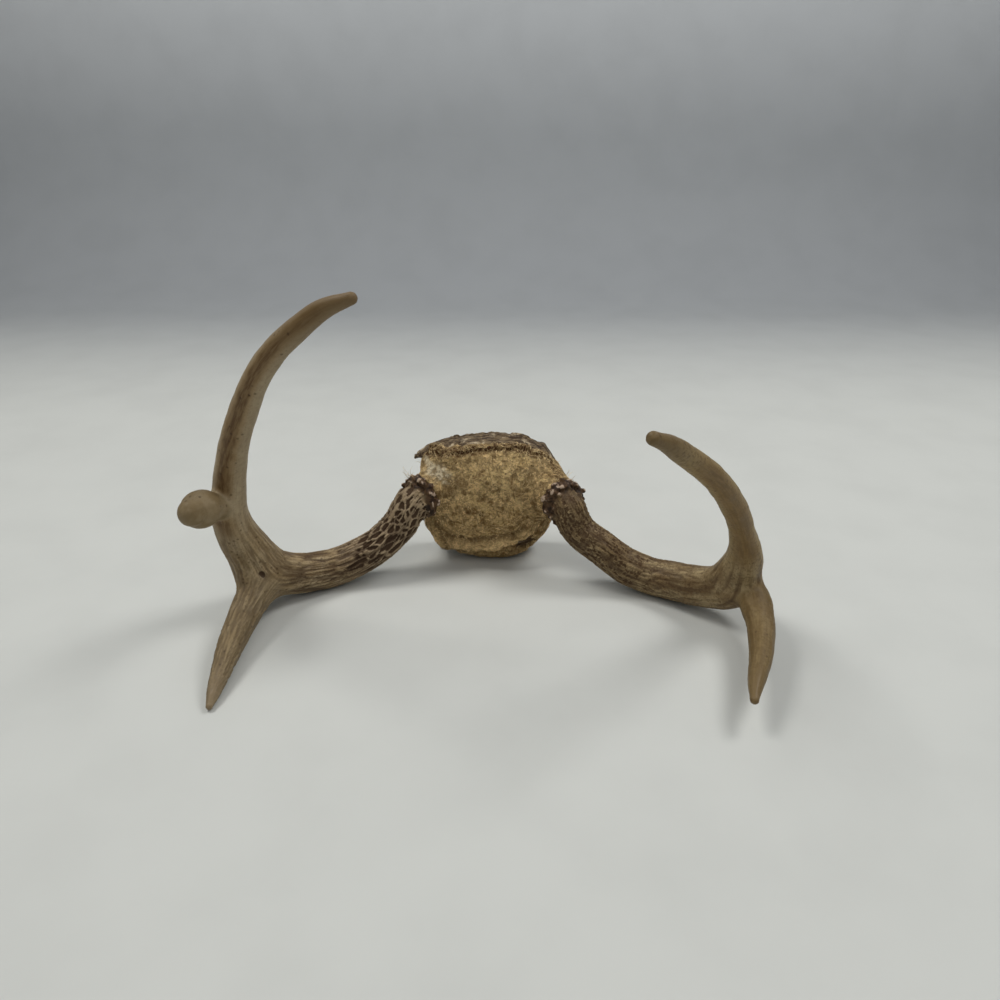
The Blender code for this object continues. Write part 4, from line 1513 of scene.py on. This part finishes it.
# Stray hairs: root, the way they point, how many, length, and how wide they scatter, all in mm
TUFTS = [((-50, 62, 58), (-0.7, -0.1, 0.5), 9, 9, 2.5),
         ((-46, 56, 38), (-0.2, -0.9, -0.6), 12, 6, 4),
         ((50, 66, 60), (0.5, 0.1, 0.8), 5, 7, 2.5),
         ((-38, 50, 34), (-0.1, -0.8, -0.8), 12, 5, 4),
         ((42, 84, 62), (0.6, 0, 0.7), 5, 5, 3), ((-46, 78, 66), (-0.6, -0.2, 0.5), 5, 5, 3),
         ((52, 62, 40), (0.5, -0.3, -0.7), 8, 4, 4), ((-25, 70, 72), (-0.2, -0.5, 0.8), 6, 4, 6)]


def stray(root, way, length, scatter):
    """One loose hair that starts on the hide and bends as it leaves it."""
    index = tree_of_points.find(np.array(root) * MM + chance.normal(size=3) * scatter * MM)[1]
    point, line = surface[index] - upright[index] * 0.0003, []
    heading = np.array(way, float) + chance.normal(size=3) * 0.45
    bend = chance.normal(size=3) * 0.35
    for _ in range(STRAY_STEPS + 1):
        line.append(point)
        heading = heading / np.linalg.norm(heading) + bend / 4
        point = point + heading / np.linalg.norm(heading) * length * MM / STRAY_STEPS
    return line


strays = [stray(root, way, length * chance.uniform(0.5, 1.25), scatter)
          for root, way, count, length, scatter in TUFTS for _ in range(count)]
print(len(strands), "felted strands and", len(strays), "stray hairs")

# %% [markdown]
# ## Hair finish
# Each strand is dull and takes its colour from where it lies: pale straw, ochre or dark brown.

# %% Hair finish and piece
def hair_finish():
    work = Coats("felted hair", 0.2)
    tree = work.tree
    cloud = work.mottle(**PATCHES)
    work.ground(cloud, (0.96, 0.71, 0.37), (0.3, 0.175, 0.062))
    level = split(tree, work.place)["Z"]
    # Painted light: strands are paler higher up.
    work.coat(ramp(tree, level, 0.045, 0.068), 0.4, (1.0, 0.8, 0.45))
    work.coat(work.mottle(0.0022, 0.42, 0.56, 3.0), 0.7, (0.17, 0.1, 0.036))
    return work.done(ramp(tree, cloud, 0.0, 1.0, 0.7, 0.85))


hair = placed("felted_hair", run_tree(HAIRS, line_mesh("hair", strands + strays),
                                      Finish=hair_finish()))
hair.data.shade_smooth()
print("hair:", sum(len(f.vertices) - 2 for f in hair.data.polygons), "triangles")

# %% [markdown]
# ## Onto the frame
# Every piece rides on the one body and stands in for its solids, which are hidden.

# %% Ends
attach(left_antler, "root")
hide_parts("left_beam", "left_front_tine", "left_upper_beam")
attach(right_antler, "root")
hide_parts("right_beam", "right_front_tine", "right_upper_beam")
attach(skull, "root")
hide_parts("skull_cap")
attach(hide, "root")
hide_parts("dried_hide")
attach(hair, "root")
